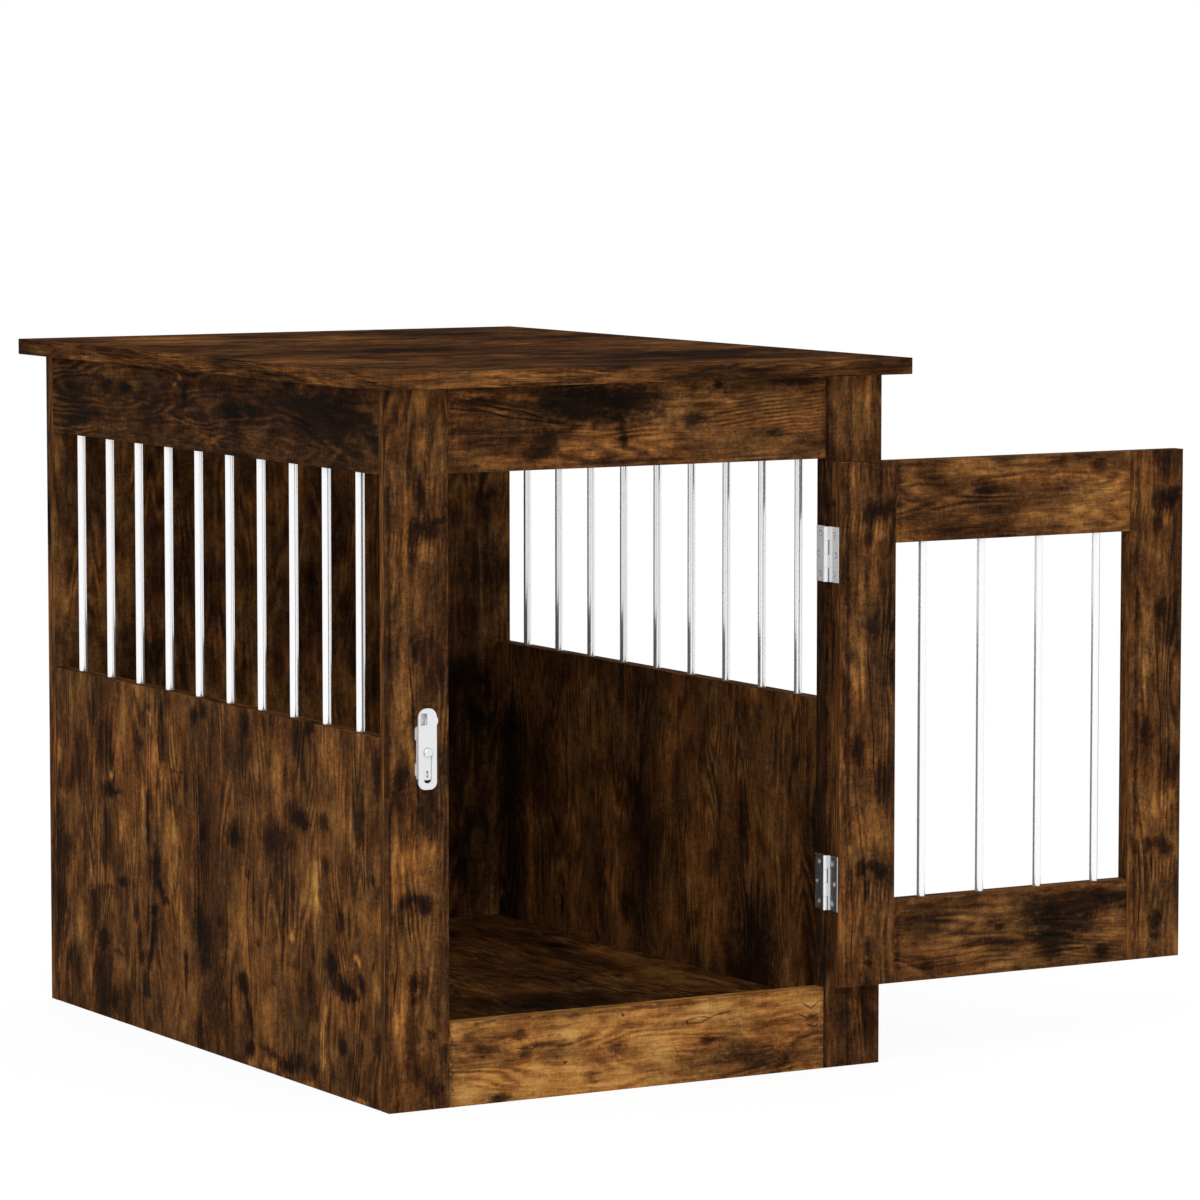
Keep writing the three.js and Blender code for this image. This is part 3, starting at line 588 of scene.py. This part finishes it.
SIDE_RAIL_MARKS = [
    (140, 53, 13, 7, 0, -0.3), (180, 50, 15, 6, 0, -0.3), (300, 66, 6, 3, 0, 0.4),
    (288, 60, 5, 3, 0, 0.34), (308, 52, 6, 14, 0, -0.32), (570, 45, 130, 22, 0, -0.3),
    (410, 42, 20, 20, 0, -0.26), (330, 13, 78, 9, 0, 0.12), (350, 15, 10, 3, 0, 0.25),
    (150, 66, 90, 7, 0, 0.12), (660, 60, 16, 8, 0, 0.14), (60, 30, 60, 30, 0, -0.08),
    (220, 30, 60, 14, 0, -0.08), (500, 8, 60, 5, 0, 0.06),
]
SIDE_RAIL_RINGS = [(200, 30, 130, 26, 4, 5, 0.04), (370, 20, 90, 20, -4, 4, 0.04)]
TOP_RAIL_MARKS = [
    (135, 56, 40, 20, 0, -0.42), (185, 58, 34, 16, 0, -0.45), (158, 60, 60, 18, 0, -0.2),
    (174, 36, 5, 16, 10, -0.4), (178, 24, 4, 6, 0, -0.35), (98, 24, 12, 14, -40, -0.34),
    (84, 12, 10, 8, 0, -0.22), (50, 30, 50, 18, 0, -0.2), (30, 60, 30, 6, 0, -0.28),
    (75, 63, 16, 5, -8, 0.28), (24, 68, 20, 4, 0, 0.24), (52, 52, 22, 2.5, -14, 0.2),
    (234, 60, 16, 16, 0, 0.18), (275, 70, 5, 4, 0, -0.6), (250, 40, 14, 6, 0, -0.38),
    (290, 58, 14, 8, 0, 0.1), (275, 62, 8, 3, 0, 0.25), (135, 18, 34, 12, 0, 0.13),
    (205, 20, 30, 14, 0, 0.1), (225, 38, 20, 8, 0, 0.14), (335, 25, 8, 4, 0, -0.32),
    (362, 71, 30, 5, 0, -0.32), (320, 12, 60, 8, 0, 0.06), (175, 4, 60, 2, 0, -0.2),
    (20, 12, 26, 10, 0, 0.08), (340, 45, 50, 18, 0, 0.04), (160, 8, 9, 6, 0, -0.15),
    (3, 38, 3, 40, 0, -0.14), (388, 38, 3, 40, 0, -0.14),
]
TOP_RAIL_LINES = [
    [(0, 56), (35, 53), (70, 46), (96, 41), (118, 40)], [(40, 57), (72, 52), (92, 45)],
]
TOP_RAIL_RINGS = [
    (320, 46, 80, 18, 6, 3.6, 0.09), (355, 38, 50, 22, 2, 3.4, 0.08), (120, 36, 50, 8, 0, 3, 0.06),
    (50, 56, 50, 10, -12, 5, 0.08),
]
SILL_MARKS = [
    (300, 12, 56, 18, 0, -0.3), (276, 30, 30, 12, 0, -0.26), (85, 20, 17, 18, 0, 0.1),
    (365, 20, 24, 20, 0, -0.16), (222, 36, 20, 8, 0, 0.1), (20, 60, 40, 14, 0, -0.1),
    (86, 16, 20, 18, 0, 0.08), (70, 8, 14, 8, 0, 0.06), (50, 3, 11, 4, 0, -0.75),
    (38, 48, 22, 6, 0, -0.28), (76, 42, 7, 6, 0, -0.45), (70, 58, 10, 5, 0, -0.4),
    (100, 48, 22, 4, 0, -0.32), (22, 56, 22, 8, 0, -0.14), (15, 34, 18, 12, 0, -0.06),
    (145, 15, 10, 7, 0, -0.34), (170, 40, 11, 10, 0, -0.3), (150, 30, 14, 8, 0, -0.1),
    (312, 20, 30, 14, 0, -0.36), (340, 12, 26, 10, 0, -0.3), (265, 37, 8, 5, 0, -0.4),
    (240, 10, 22, 6, 0, -0.28), (370, 14, 22, 14, 0, -0.2), (374, 58, 12, 8, 0, 0.14),
    (378, 46, 7, 5, 0, -0.4), (176, 68, 2, 2, 0, -0.6), (117, 30, 2, 2, 0, -0.5),
    (170, 40, 2, 2, 0, -0.4), (245, 55, 2, 2, 0, -0.5), (195, 73, 200, 2.5, 0, -0.22),
    (128, 58, 20, 8, 0, 0.08), (205, 52, 22, 12, 0, 0.06), (130, 20, 20, 12, 0, 0.1),
    (215, 28, 22, 8, 0, 0.1), (290, 60, 30, 8, 0, 0.04), (1.5, 38, 2, 40, 0, -0.3),
    (20, 15, 20, 12, 0, 0.04), (330, 44, 22, 7, 0, -0.12), (388, 38, 3, 40, 0, -0.2),
]
SILL_LINES = [
    [(243, 56), (256, 58), (268, 56)], [(246, 53), (258, 52), (272, 58), (290, 62)],
    [(68, 47), (82, 44), (88, 47)], [(362, 54), (372, 50), (386, 52)],
    [(366, 64), (376, 58), (384, 63)], [(372, 44), (380, 40), (386, 44)],
]
DOOR_TOP_MARKS = [
    (40, 45, 20, 16, 0, -0.3), (96, 46, 12, 12, 0, -0.28), (90, 8, 90, 9, 0, -0.2),
    (224, 62, 9, 7, 0, -0.28), (225, 30, 40, 26, 0, 0.12), (150, 55, 40, 14, 0, 0.08),
    (70, 64, 30, 8, 0, 0.08), (130, 30, 14, 10, 0, -0.12), (18, 25, 16, 12, 0, -0.12),
    (180, 40, 14, 10, 0, -0.08), (3, 38, 3, 40, 0, -0.14), (160, 73, 100, 2, 0, -0.1),
]
DOOR_BOTTOM_MARKS = [
    (196, 60, 68, 16, 0, -0.36), (180, 40, 40, 16, 0, -0.34), (173, 22, 16, 16, 0, -0.36),
    (35, 60, 34, 18, 0, -0.26), (92, 50, 24, 14, 0, 0.08), (116, 43, 5, 4, 0, -0.36),
    (36, 12, 8, 7, 0, -0.28), (231, 12, 8, 7, 0, -0.28), (60, 22, 50, 14, 0, 0.08),
    (130, 14, 40, 10, 0, 0.12), (240, 35, 24, 16, 0, 0.1), (3, 38, 3, 40, 0, -0.2),
    (150, 62, 10, 10, 0, -0.1), (215, 20, 20, 10, 0, 0.06),
]
DOOR_BOTTOM_RINGS = [(220, 16, 40, 16, -10, 4, 0.08), (60, 18, 60, 14, 3, 4, 0.05)]
INNER_MARKS = [
    (50, 220, 55, 60, 0, -0.2), (143, 150, 30, 150, 0, 0.08), (133, 75, 4, 13, 0, -0.5),
    (292, 150, 36, 150, 0, -0.2), (260, 90, 12, 20, 0, -0.3), (500, 110, 40, 30, 0, -0.3),
    (495, 60, 45, 40, 0, -0.42), (485, 15, 30, 25, 0, -0.3), (480, 200, 12, 45, 0, -0.32),
    (350, 265, 14, 12, 0, 0.2), (600, 140, 18, 140, 0, -0.22), (400, 170, 30, 90, 0, 0.1),
    (225, 200, 30, 80, 0, 0.06), (640, 120, 20, 100, 0, 0.08), (90, 110, 16, 40, 0, -0.2),
    (180, 60, 14, 50, 0, 0.08), (540, 220, 24, 50, 0, 0.08), (430, 90, 10, 60, 0, 0.08),
    (560, 60, 14, 60, 0, 0.06), (350, 90, 22, 60, 0, 0.05), (28, 110, 28, 150, 0, -0.42),
    (70, 150, 12, 120, 0, 0.1), (430, 40, 10, 30, 0, -0.25), (210, 120, 10, 60, 0, -0.2),
]
BACK_INNER_MARKS = [
    (450, 180, 60, 250, 0, -0.12), (430, 240, 14, 22, 0, -0.3), (452, 110, 12, 30, 0, -0.3),
    (470, 270, 12, 40, 0, -0.3), (425, 70, 14, 26, 0, -0.3), (445, 300, 40, 20, 0, -0.2),
]
FLOOR_MARKS = [
    (120, 330, 40, 70, 0, -0.3), (250, 170, 90, 60, 0, -0.36), (380, 110, 60, 36, 0, -0.36),
    (60, 520, 30, 60, 0, -0.2), (330, 420, 50, 70, 0, 0.1), (200, 560, 50, 60, 0, 0.1),
    (150, 90, 60, 30, 0, 0.12), (455, 330, 24, 320, 0, 0.2), (180, 430, 14, 24, 0, -0.4),
    (290, 520, 10, 18, 0, -0.4), (60, 60, 40, 40, 0, -0.2), (300, 40, 90, 16, 0, -0.26),
    (400, 260, 50, 60, 0, 0.14), (330, 300, 30, 60, 0, -0.2), (430, 470, 14, 24, 0, -0.4),
    (240, 330, 24, 80, 0, 0.14), (370, 600, 16, 30, 0, -0.35), (300, 640, 60, 30, 0, 0.1),
]
TOP_MARKS = [
    (80, 215, 90, 70, 0, 0.16), (100, 650, 60, 110, 0, 0.16), (400, 150, 120, 80, 0, -0.2),
    (180, 370, 90, 40, 0, -0.18), (370, 420, 60, 70, 0, 0.14), (260, 80, 100, 24, 0, -0.1),
    (450, 570, 60, 100, 0, -0.16), (110, 240, 50, 12, 0, -0.16), (60, 470, 50, 30, 0, -0.12),
    (300, 300, 60, 24, 0, -0.1), (500, 350, 50, 50, 0, 0.1), (260, 600, 80, 50, 0, 0.12),
    (120, 20, 100, 16, 0, 0.08), (470, 30, 60, 16, 0, 0.06), (270, 150, 14, 8, 0, -0.4),
    (330, 560, 12, 8, 0, -0.4), (120, 500, 12, 8, 0, -0.4), (330, 690, 120, 30, 0, -0.14),
]
TOP_EDGE_MARKS = [
    (100, 0, 100, 3, 0, 0.2), (250, 0, 60, 3, 0, 0.12), (420, 0, 70, 3, 0, 0.08),
    (0, 100, 3, 80, 0, 0.14), (0, 400, 3, 70, 0, 0.12), (0, 620, 3, 60, 0, 0.1),
]

PAINTED_JAMB_SHADE = [(0, 318, 3, 400, 0, -0.36)]  # painted shade on the side of the right stile in the doorway

SIDE_PANEL_LENGTH = 679
BACK_MARKED_WIDTH = 470
DOOR_STILE_WIDTH = 60
DOOR_RAIL_LENGTH = 262

# Where a print starts on a board other than the one that it was drawn on, to the right and up.
SIDE_SHIFT = (-15, 0)  # the side's marks are measured from the back of the back panel
RIGHT_STILE_SHIFT = (25, -2)
BACK_SHIFT = (-240, 312)
DOOR_SHIFT = (7, -77.5)  # the door's lower edge is 77.5 above the floor

RIGHT_STILE_MARKS = moved(STILE_MARKS[5:], *RIGHT_STILE_SHIFT) + PAINTED_JAMB_SHADE
SIDE_PANEL_MARKS = moved(SIDE_MARKS, *SIDE_SHIFT)
RAIL_MARKS = moved(SIDE_RAIL_MARKS, *SIDE_SHIFT)
RIGHT_MARKS = flipped(strongest(SIDE_PANEL_MARKS, 0.3), SIDE_PANEL_LENGTH)
DARK_MARKS = strongest(SIDE_MARKS, 0.34)
BACK_MARKS = [
    mark for mark in DARK_MARKS + moved(DARK_MARKS, *BACK_SHIFT)
    if 0 < mark[0] < BACK_MARKED_WIDTH
]
DOOR_STILE_MARKS = moved(STILE_MARKS, *DOOR_SHIFT)
DOOR_STILE_RINGS = moved(STILE_RINGS, *DOOR_SHIFT)
DOOR_STILE_LINES = moved_lines(STILE_LINES, *DOOR_SHIFT)

FLAT_BOARD = 0.4  # the strength of the clouds where the marks are drawn
TOP_SHINE = 0.0002  # low, because the camera sees the top at a grazing angle

oak(
    "front_stile_left", "y", "v", 0.55, STILE_MARKS, rings=STILE_RINGS, lines=STILE_LINES,
    shift=1, broad=FLAT_BOARD,
)
oak(
    "front_stile_right", "y", "v", 0.53, RIGHT_STILE_MARKS, PAINTED_JAMB_SHADE,
    rings=moved(STILE_RINGS, 25, 0), shift=2, broad=FLAT_BOARD,
)
oak(
    "front_rail_top", "y", "h", 0.57, TOP_RAIL_MARKS, rings=TOP_RAIL_RINGS,
    lines=TOP_RAIL_LINES, shift=3, broad=FLAT_BOARD,
)
oak(
    "front_rail_bottom", "y", "h", 0.89, SILL_MARKS, lines=SILL_LINES, shift=4, broad=0.35,
    streaky=0.9,
)
oak(
    "side_panel_left", "x", "v", 0.55, SIDE_PANEL_MARKS,
    lines=moved_lines(SIDE_LINES, *SIDE_SHIFT), shift=5, broad=FLAT_BOARD, streaky=0.45,
)
oak(
    "side_panel_right", "x", "v", 0.56, INNER_MARKS, RIGHT_MARKS, shift=6, broad=0.45,
    streaky=0.4,
)
oak(
    "side_rail_left", "x", "h", 0.40, RAIL_MARKS, rings=SIDE_RAIL_RINGS, shift=7,
    broad=FLAT_BOARD,
)
oak("side_rail_right", "x", "h", 0.44, back_marks=RAIL_MARKS, shift=8, broad=0.5)
oak("back_panel", "y", "v", 0.54, BACK_INNER_MARKS, BACK_MARKS, shift=9, broad=0.6, streaky=0.5)
oak("floor_panel", "z", "v", 0.54, back_marks=FLOOR_MARKS, shift=10, broad=0.4, streaky=0.35)
# The top's tone is lower than that of the other boards: painted shade against the world's light
# from above.
oak(
    "top_panel", "z", "h", 0.43, TOP_EDGE_MARKS, TOP_MARKS + TOP_EDGE_MARKS, shift=11,
    broad=0.6, streaky=0.45, shine=TOP_SHINE,
)
for stile, tone, shift in (("door_stile_hinge", 0.53, 1.05), ("door_stile_latch", 0.55, 1.1)):
    oak(
        stile, "y", "v", tone, DOOR_STILE_MARKS, flipped(DOOR_STILE_MARKS, DOOR_STILE_WIDTH),
        DOOR_STILE_RINGS, DOOR_STILE_LINES, shift, FLAT_BOARD,
    )
oak(
    "door_rail_top", "y", "h", 0.60, DOOR_TOP_MARKS,
    flipped(TOP_RAIL_MARKS[:20], DOOR_RAIL_LENGTH), shift=12, broad=0.5,
)
oak(
    "door_rail_bottom", "y", "h", 0.55, DOOR_BOTTOM_MARKS,
    flipped(DOOR_BOTTOM_MARKS, DOOR_RAIL_LENGTH), DOOR_BOTTOM_RINGS, shift=13, broad=FLAT_BOARD,
)


# ---------------------------------------------------------------- metals and dowels

METAL_RELIEF = 0.2 * MM
BEECH_LUMPS = (0.02, 0.002, 0.002)  # m, along the dowel and across
BEECH_COLOURS = ((176, 132, 86), (214, 176, 128))


def metal(name, colour, roughness, spread=0.06, size=(6, 6, 6), bump=0.0, shell=1.0):
    """A bright metal whose roughness and surface vary a little.

    shell is how much of it shows as metal: the rest is silver paint.
    """
    material, tree, shader = new_material(name)
    here = put(tree, "ShaderNodeTexCoord").outputs["Object"]
    here = vector(tree, "MULTIPLY", here, (1 / MM, 1 / MM, 1 / MM))
    wear = noise(tree, here, size, detail=4, roughness=0.6)
    varied = calc(tree, "MULTIPLY_ADD", wear, spread, roughness - spread / 2)
    tree.links.new(varied, shader.inputs["Roughness"])
    shader.inputs["Base Color"].default_value = colour
    shader.inputs["Metallic"].default_value = shell
    if bump:
        relief = {"Height": wear, "Strength": bump, "Distance": METAL_RELIEF}
        tree.links.new(put(tree, "ShaderNodeBump", relief).outputs[0], shader.inputs["Normal"])
    return material


def beech():
    material, tree, shader = new_material("beech")
    here = put(tree, "ShaderNodeTexCoord").outputs["Object"]
    ramp = put(tree, "ShaderNodeValToRGB", {0: noise(tree, here, BEECH_LUMPS)})
    for element, colour in zip(ramp.color_ramp.elements, BEECH_COLOURS):
        element.color = from_srgb(*colour)
    tree.links.new(ramp.outputs[0], shader.inputs["Base Color"])
    return material


ZINC = (0.78, 0.79, 0.8, 1)
BRIGHT_BAR = metal("bright_bar", (0.96, 0.96, 0.97, 1), 0.1, 0.02, (4, 4, 60), shell=0.72)
HINGE_STEEL = metal("hinge_steel", (0.80, 0.80, 0.81, 1), 0.22, 0.04, (6, 6, 12), shell=0.93)
SCREW_STEEL = metal("screw_steel", (0.72, 0.72, 0.74, 1), 0.4, 0.1, (1, 1, 1), 0.1)
SLIDER_ZINC = metal("latch_slider_zinc", ZINC, 0.3, 0.08, (2, 2, 2), shell=0.7)
LATCH_ZINC = metal("latch_zinc", ZINC, 0.42, 0.08, (2, 2, 2), shell=0.25)
SPRING_STEEL = metal("spring_steel", (0.45, 0.45, 0.46, 1), 0.3)
BEECH = beech()

MATERIALS = (  # by the start of a node's name: the first that fits
    ("hinge_", HINGE_STEEL), ("latch_spring", SPRING_STEEL), ("latch_slider", SLIDER_ZINC),
    ("latch_", LATCH_ZINC), ("door_dowel", BEECH), ("door_bar", BRIGHT_BAR),
    ("side_bar", BRIGHT_BAR),
)

for name, piece in nodes.items():
    for start, material in MATERIALS:
        if name.startswith(start):
            dress(piece, material)
            break


# ---------------------------------------------------------------- bars

ROD_SIDES = 48
ROD_EASE = 0.6 * MM
SHARP_FROM = radians(30)


def ring(mesh, radius, height, sides):
    turn = [2 * pi * i / sides for i in range(sides)]
    return [mesh.verts.new((radius * cos(a), radius * sin(a), height)) for a in turn]


def finished(mesh, name, material):
    """The data of an object, made of a bmesh, which is freed."""
    bmesh.ops.recalc_face_normals(mesh, faces=mesh.faces)
    data = bpy.data.meshes.new(name)
    mesh.to_mesh(data)
    mesh.free()
    data.shade_smooth()
    data.set_sharp_from_angle(angle=SHARP_FROM)
    data.materials.append(material)
    return data


def revolved(name, profile, sides, material):
    """A closed body of revolution round Z. profile goes from the axis up to the axis again."""
    mesh = bmesh.new()
    rings = []
    for radius, height in profile:
        if radius:
            rings.append(ring(mesh, radius, height, sides))
        else:
            rings.append([mesh.verts.new((0, 0, height))])
    for below, above in zip(rings, rings[1:]):
        for i in range(sides):
            j = (i + 1) % sides
            face = [below[i % len(below)], below[j % len(below)]]
            face += [above[j % len(above)], above[i % len(above)]]
            mesh.faces.new([v for k, v in enumerate(face) if v not in face[:k]])
    return finished(mesh, name, material)


def add_rod(node, body):
    """A smooth bar with turned ends in place of a bar of the frame."""
    low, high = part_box(node)
    radius = (high.y - low.y) / 2
    half = (high.z - low.z) / 2
    profile = [
        (0, -half),
        (radius - ROD_EASE, -half),
        (radius, ROD_EASE - half),
        (radius, half - ROD_EASE),
        (radius - ROD_EASE, half),
        (0, half),
    ]
    name = node.replace("_bar_", "_rod_")
    data = revolved(name, profile, ROD_SIDES, BRIGHT_BAR)
    rod = add_object(name, data, location=(low + high) / 2)
    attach(rod, body)
    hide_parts(node)


for name in sorted(nodes):
    if "_bar_" in name:
        add_rod(name, "door" if name.startswith("door") else "cabinet")


# ---------------------------------------------------------------- screws

HEAD_RADIUS = 2.9 * MM
CROWN_INSET = 0.3 * MM  # the head's face rises towards its middle by the crown's height
CROWN_HEIGHT = 0.05 * MM
CONE_HEIGHT = 0.9 * MM
SHANK_RADIUS = 1.5 * MM
POINT_LENGTH = 3 * MM
SCREW_LENGTH = 12 * MM
SCREW_SIDES = 32
RECESS_REACH = 1.7 * MM  # from the middle to the end of an arm of the cross
RECESS_HALF = 0.42 * MM  # half the width of an arm
RECESS_DEPTH = 0.9 * MM
RECESS_TAPER = 0.55  # the size of its bottom, to that of its mouth


def screw_mesh(name):
    """A countersunk screw with a cross recess. The rim of its head is at z = 0 and faces +Z."""
    mesh = bmesh.new()

    def cross(scale, height):
        a, b = RECESS_HALF * scale, RECESS_REACH * scale
        quarter = [(b, -a), (b, a), (a, a)]
        points = []
        for _ in range(4):
            points += quarter
            quarter = [(-y, x) for x, y in quarter]
        return [mesh.verts.new((x, y, height)) for x, y in points]

    def sides(loop):
        return list(zip(loop, loop[1:] + loop[:1]))

    def join(upper, lower):
        for (a, b), (c, d) in zip(sides(upper), sides(lower)):
            mesh.faces.new((a, b, d, c))

    rim = ring(mesh, HEAD_RADIUS, 0, SCREW_SIDES)
    crown = ring(mesh, HEAD_RADIUS - CROWN_INSET, CROWN_HEIGHT, SCREW_SIDES)
    neck = ring(mesh, SHANK_RADIUS, -CONE_HEIGHT, SCREW_SIDES)
    shoulder = ring(mesh, SHANK_RADIUS, POINT_LENGTH - SCREW_LENGTH, SCREW_SIDES)
    join(crown, rim)
    join(rim, neck)
    join(neck, shoulder)
    tip = mesh.verts.new((0, 0, -SCREW_LENGTH))
    for a, b in sides(shoulder):
        mesh.faces.new((a, b, tip))
    mouth = cross(1.0, CROWN_HEIGHT)
    bottom = cross(RECESS_TAPER, -RECESS_DEPTH)
    join(mouth, bottom)
    mesh.faces.new(bottom)
    face_edges = [mesh.edges.get(side) for side in sides(crown) + sides(mouth)]
    bmesh.ops.triangle_fill(mesh, use_beauty=True, edges=face_edges)
    return finished(mesh, name, SCREW_STEEL)


def add_screws(node, places, facing, body, turn, step):
    """The screws of a node, with the middles of their heads at places, in mm.

    turn is that of the first screw's cross, in degrees, and each next one has step more.
    """
    aim = Vector(facing).to_track_quat("Z", "Y").to_matrix().to_4x4()
    for i, place in enumerate(places):
        name = f"{node}_screw_{i + 1}"
        spin = Matrix.Rotation(radians(turn + step * i), 4, "Z")
        placed = Matrix.Translation(Vector(place) * MM) @ aim @ spin
        screw = add_object(name, screw_mesh(name), matrix_world=placed)
        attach(screw, body)


HEAD_SINK = 0.06  # mm, as are the sizes below

LEAF_FACE_X = 193.7
HINGE_AXIS_Y = -12.5
LEAF_SCREWS = ((11.1, -18.2), (14.5, 0), (11.1, 18.2))  # from the axis, and up

BASE_FACE_Y = -8.8
PIVOT_Z = 297.95
BASE_SCREWS = (16, 35.4)  # up from the pivot

KEEPER_THICKNESS = 1.2
KEEPER_SCREWS = (-11, 11)  # up from the keeper's middle


def add_hinge_screws():
    for hinge in ("hinge_upper", "hinge_lower"):
        for leaf, side, body in (("frame_leaf", 1, "cabinet"), ("door_leaf", -1, "door")):
            node = f"{hinge}_{leaf}"
            low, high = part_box(node)
            height = (low.z + high.z) / 2 / MM
            places = [
                (LEAF_FACE_X + HEAD_SINK, HINGE_AXIS_Y + side * out, height + up)
                for out, up in LEAF_SCREWS
            ]
            turn = 17 + 23 * side
            add_screws(node, places, (-1, 0, 0), body, turn, step=41)


def add_latch_screws():
    low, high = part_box("latch_base")
    middle = (low.x + high.x) / 2 / MM
    places = [(middle, BASE_FACE_Y + HEAD_SINK, PIVOT_Z + up) for up in BASE_SCREWS]
    add_screws("latch_base", places, (0, -1, 0), "cabinet", turn=30, step=50)

    low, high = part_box("latch_keeper")
    middle = (low.x + high.x) / 2 / MM
    height = (low.z + high.z) / 2 / MM
    face_y = low.y / MM + KEEPER_THICKNESS
    places = [(middle, face_y - HEAD_SINK, height + up) for up in KEEPER_SCREWS]
    add_screws("latch_keeper", places, (0, 1, 0), "door", turn=12, step=60)


add_hinge_screws()
add_latch_screws()


# ---------------------------------------------------------------- floor and light

FLOOR_REACH = 8  # m
FLOOR_COLOUR = (0.9, 0.9, 0.9, 1)
FLOOR_ROUGHNESS = 0.9
FLOOR_GLOW = 1.06
FLOOR_GLOW_SHARE = 0.85  # the rest of what the camera sees of the floor shows the shadow
WHITE = (1, 1, 1, 1)
AMBIENT = 0.8  # the world's light on the object; the camera sees a world of 1


def add_floor():
    corners = [
        (x * FLOOR_REACH, y * FLOOR_REACH, 0) for x, y in ((-1, -1), (1, -1), (1, 1), (-1, 1))
    ]
    data = bpy.data.meshes.new("floor")
    data.from_pydata(corners, [], [(0, 1, 2, 3)])
    floor = add_object("floor", data)
    material, tree, shader = new_material("pale_floor")
    shader.inputs["Base Color"].default_value = FLOOR_COLOUR
    shader.inputs["Roughness"].default_value = FLOOR_ROUGHNESS
    shader.inputs["Specular IOR Level"].default_value = 0.0
    rays = put(tree, "ShaderNodeLightPath").outputs
    seen = calc(tree, "MAXIMUM", rays["Is Camera Ray"], rays["Is Glossy Ray"])
    seen = calc(tree, "MULTIPLY", seen, FLOOR_GLOW_SHARE)
    glow = put(tree, "ShaderNodeEmission", {"Color": WHITE, "Strength": FLOOR_GLOW})
    mixed = put(
        tree, "ShaderNodeMixShader", {0: seen, 1: shader.outputs[0], 2: glow.outputs[0]}
    )
    tree.links.new(mixed.outputs[0], tree.nodes["Material Output"].inputs["Surface"])
    data.materials.append(material)


def add_world():
    world = bpy.data.worlds.new("studio")
    bpy.context.scene.world = world
    world.use_nodes = True
    tree = world.node_tree
    tree.nodes.clear()
    rays = put(tree, "ShaderNodeLightPath").outputs
    level = calc(tree, "MULTIPLY_ADD", rays["Is Camera Ray"], 1.0 - AMBIENT, AMBIENT)
    level = calc(tree, "MULTIPLY_ADD", rays["Is Glossy Ray"], 1.0 - AMBIENT, level)
    backdrop = put(tree, "ShaderNodeBackground", {0: WHITE, 1: level}).outputs[0]
    put(tree, "ShaderNodeOutputWorld", {0: backdrop})


def add_lamp(name, place, target, size, power):
    data = bpy.data.lights.new(name, "AREA")
    data.shape = "DISK"
    data.size = size
    data.energy = power
    aim = (Vector(target) - Vector(place)).to_track_quat("-Z", "Y").to_euler()
    add_object(name, data, location=place, rotation_euler=aim)


add_camera()
add_floor()
add_world()
add_lamp("key_lamp", place=(-2.5, -3.0, 2.6), target=(0, 0.2, 0.3), size=2.5, power=60)

bpy.context.scene.view_settings.view_transform = "Standard"

# ---------------------------------------------------------------- update

bpy.context.view_layer.update()
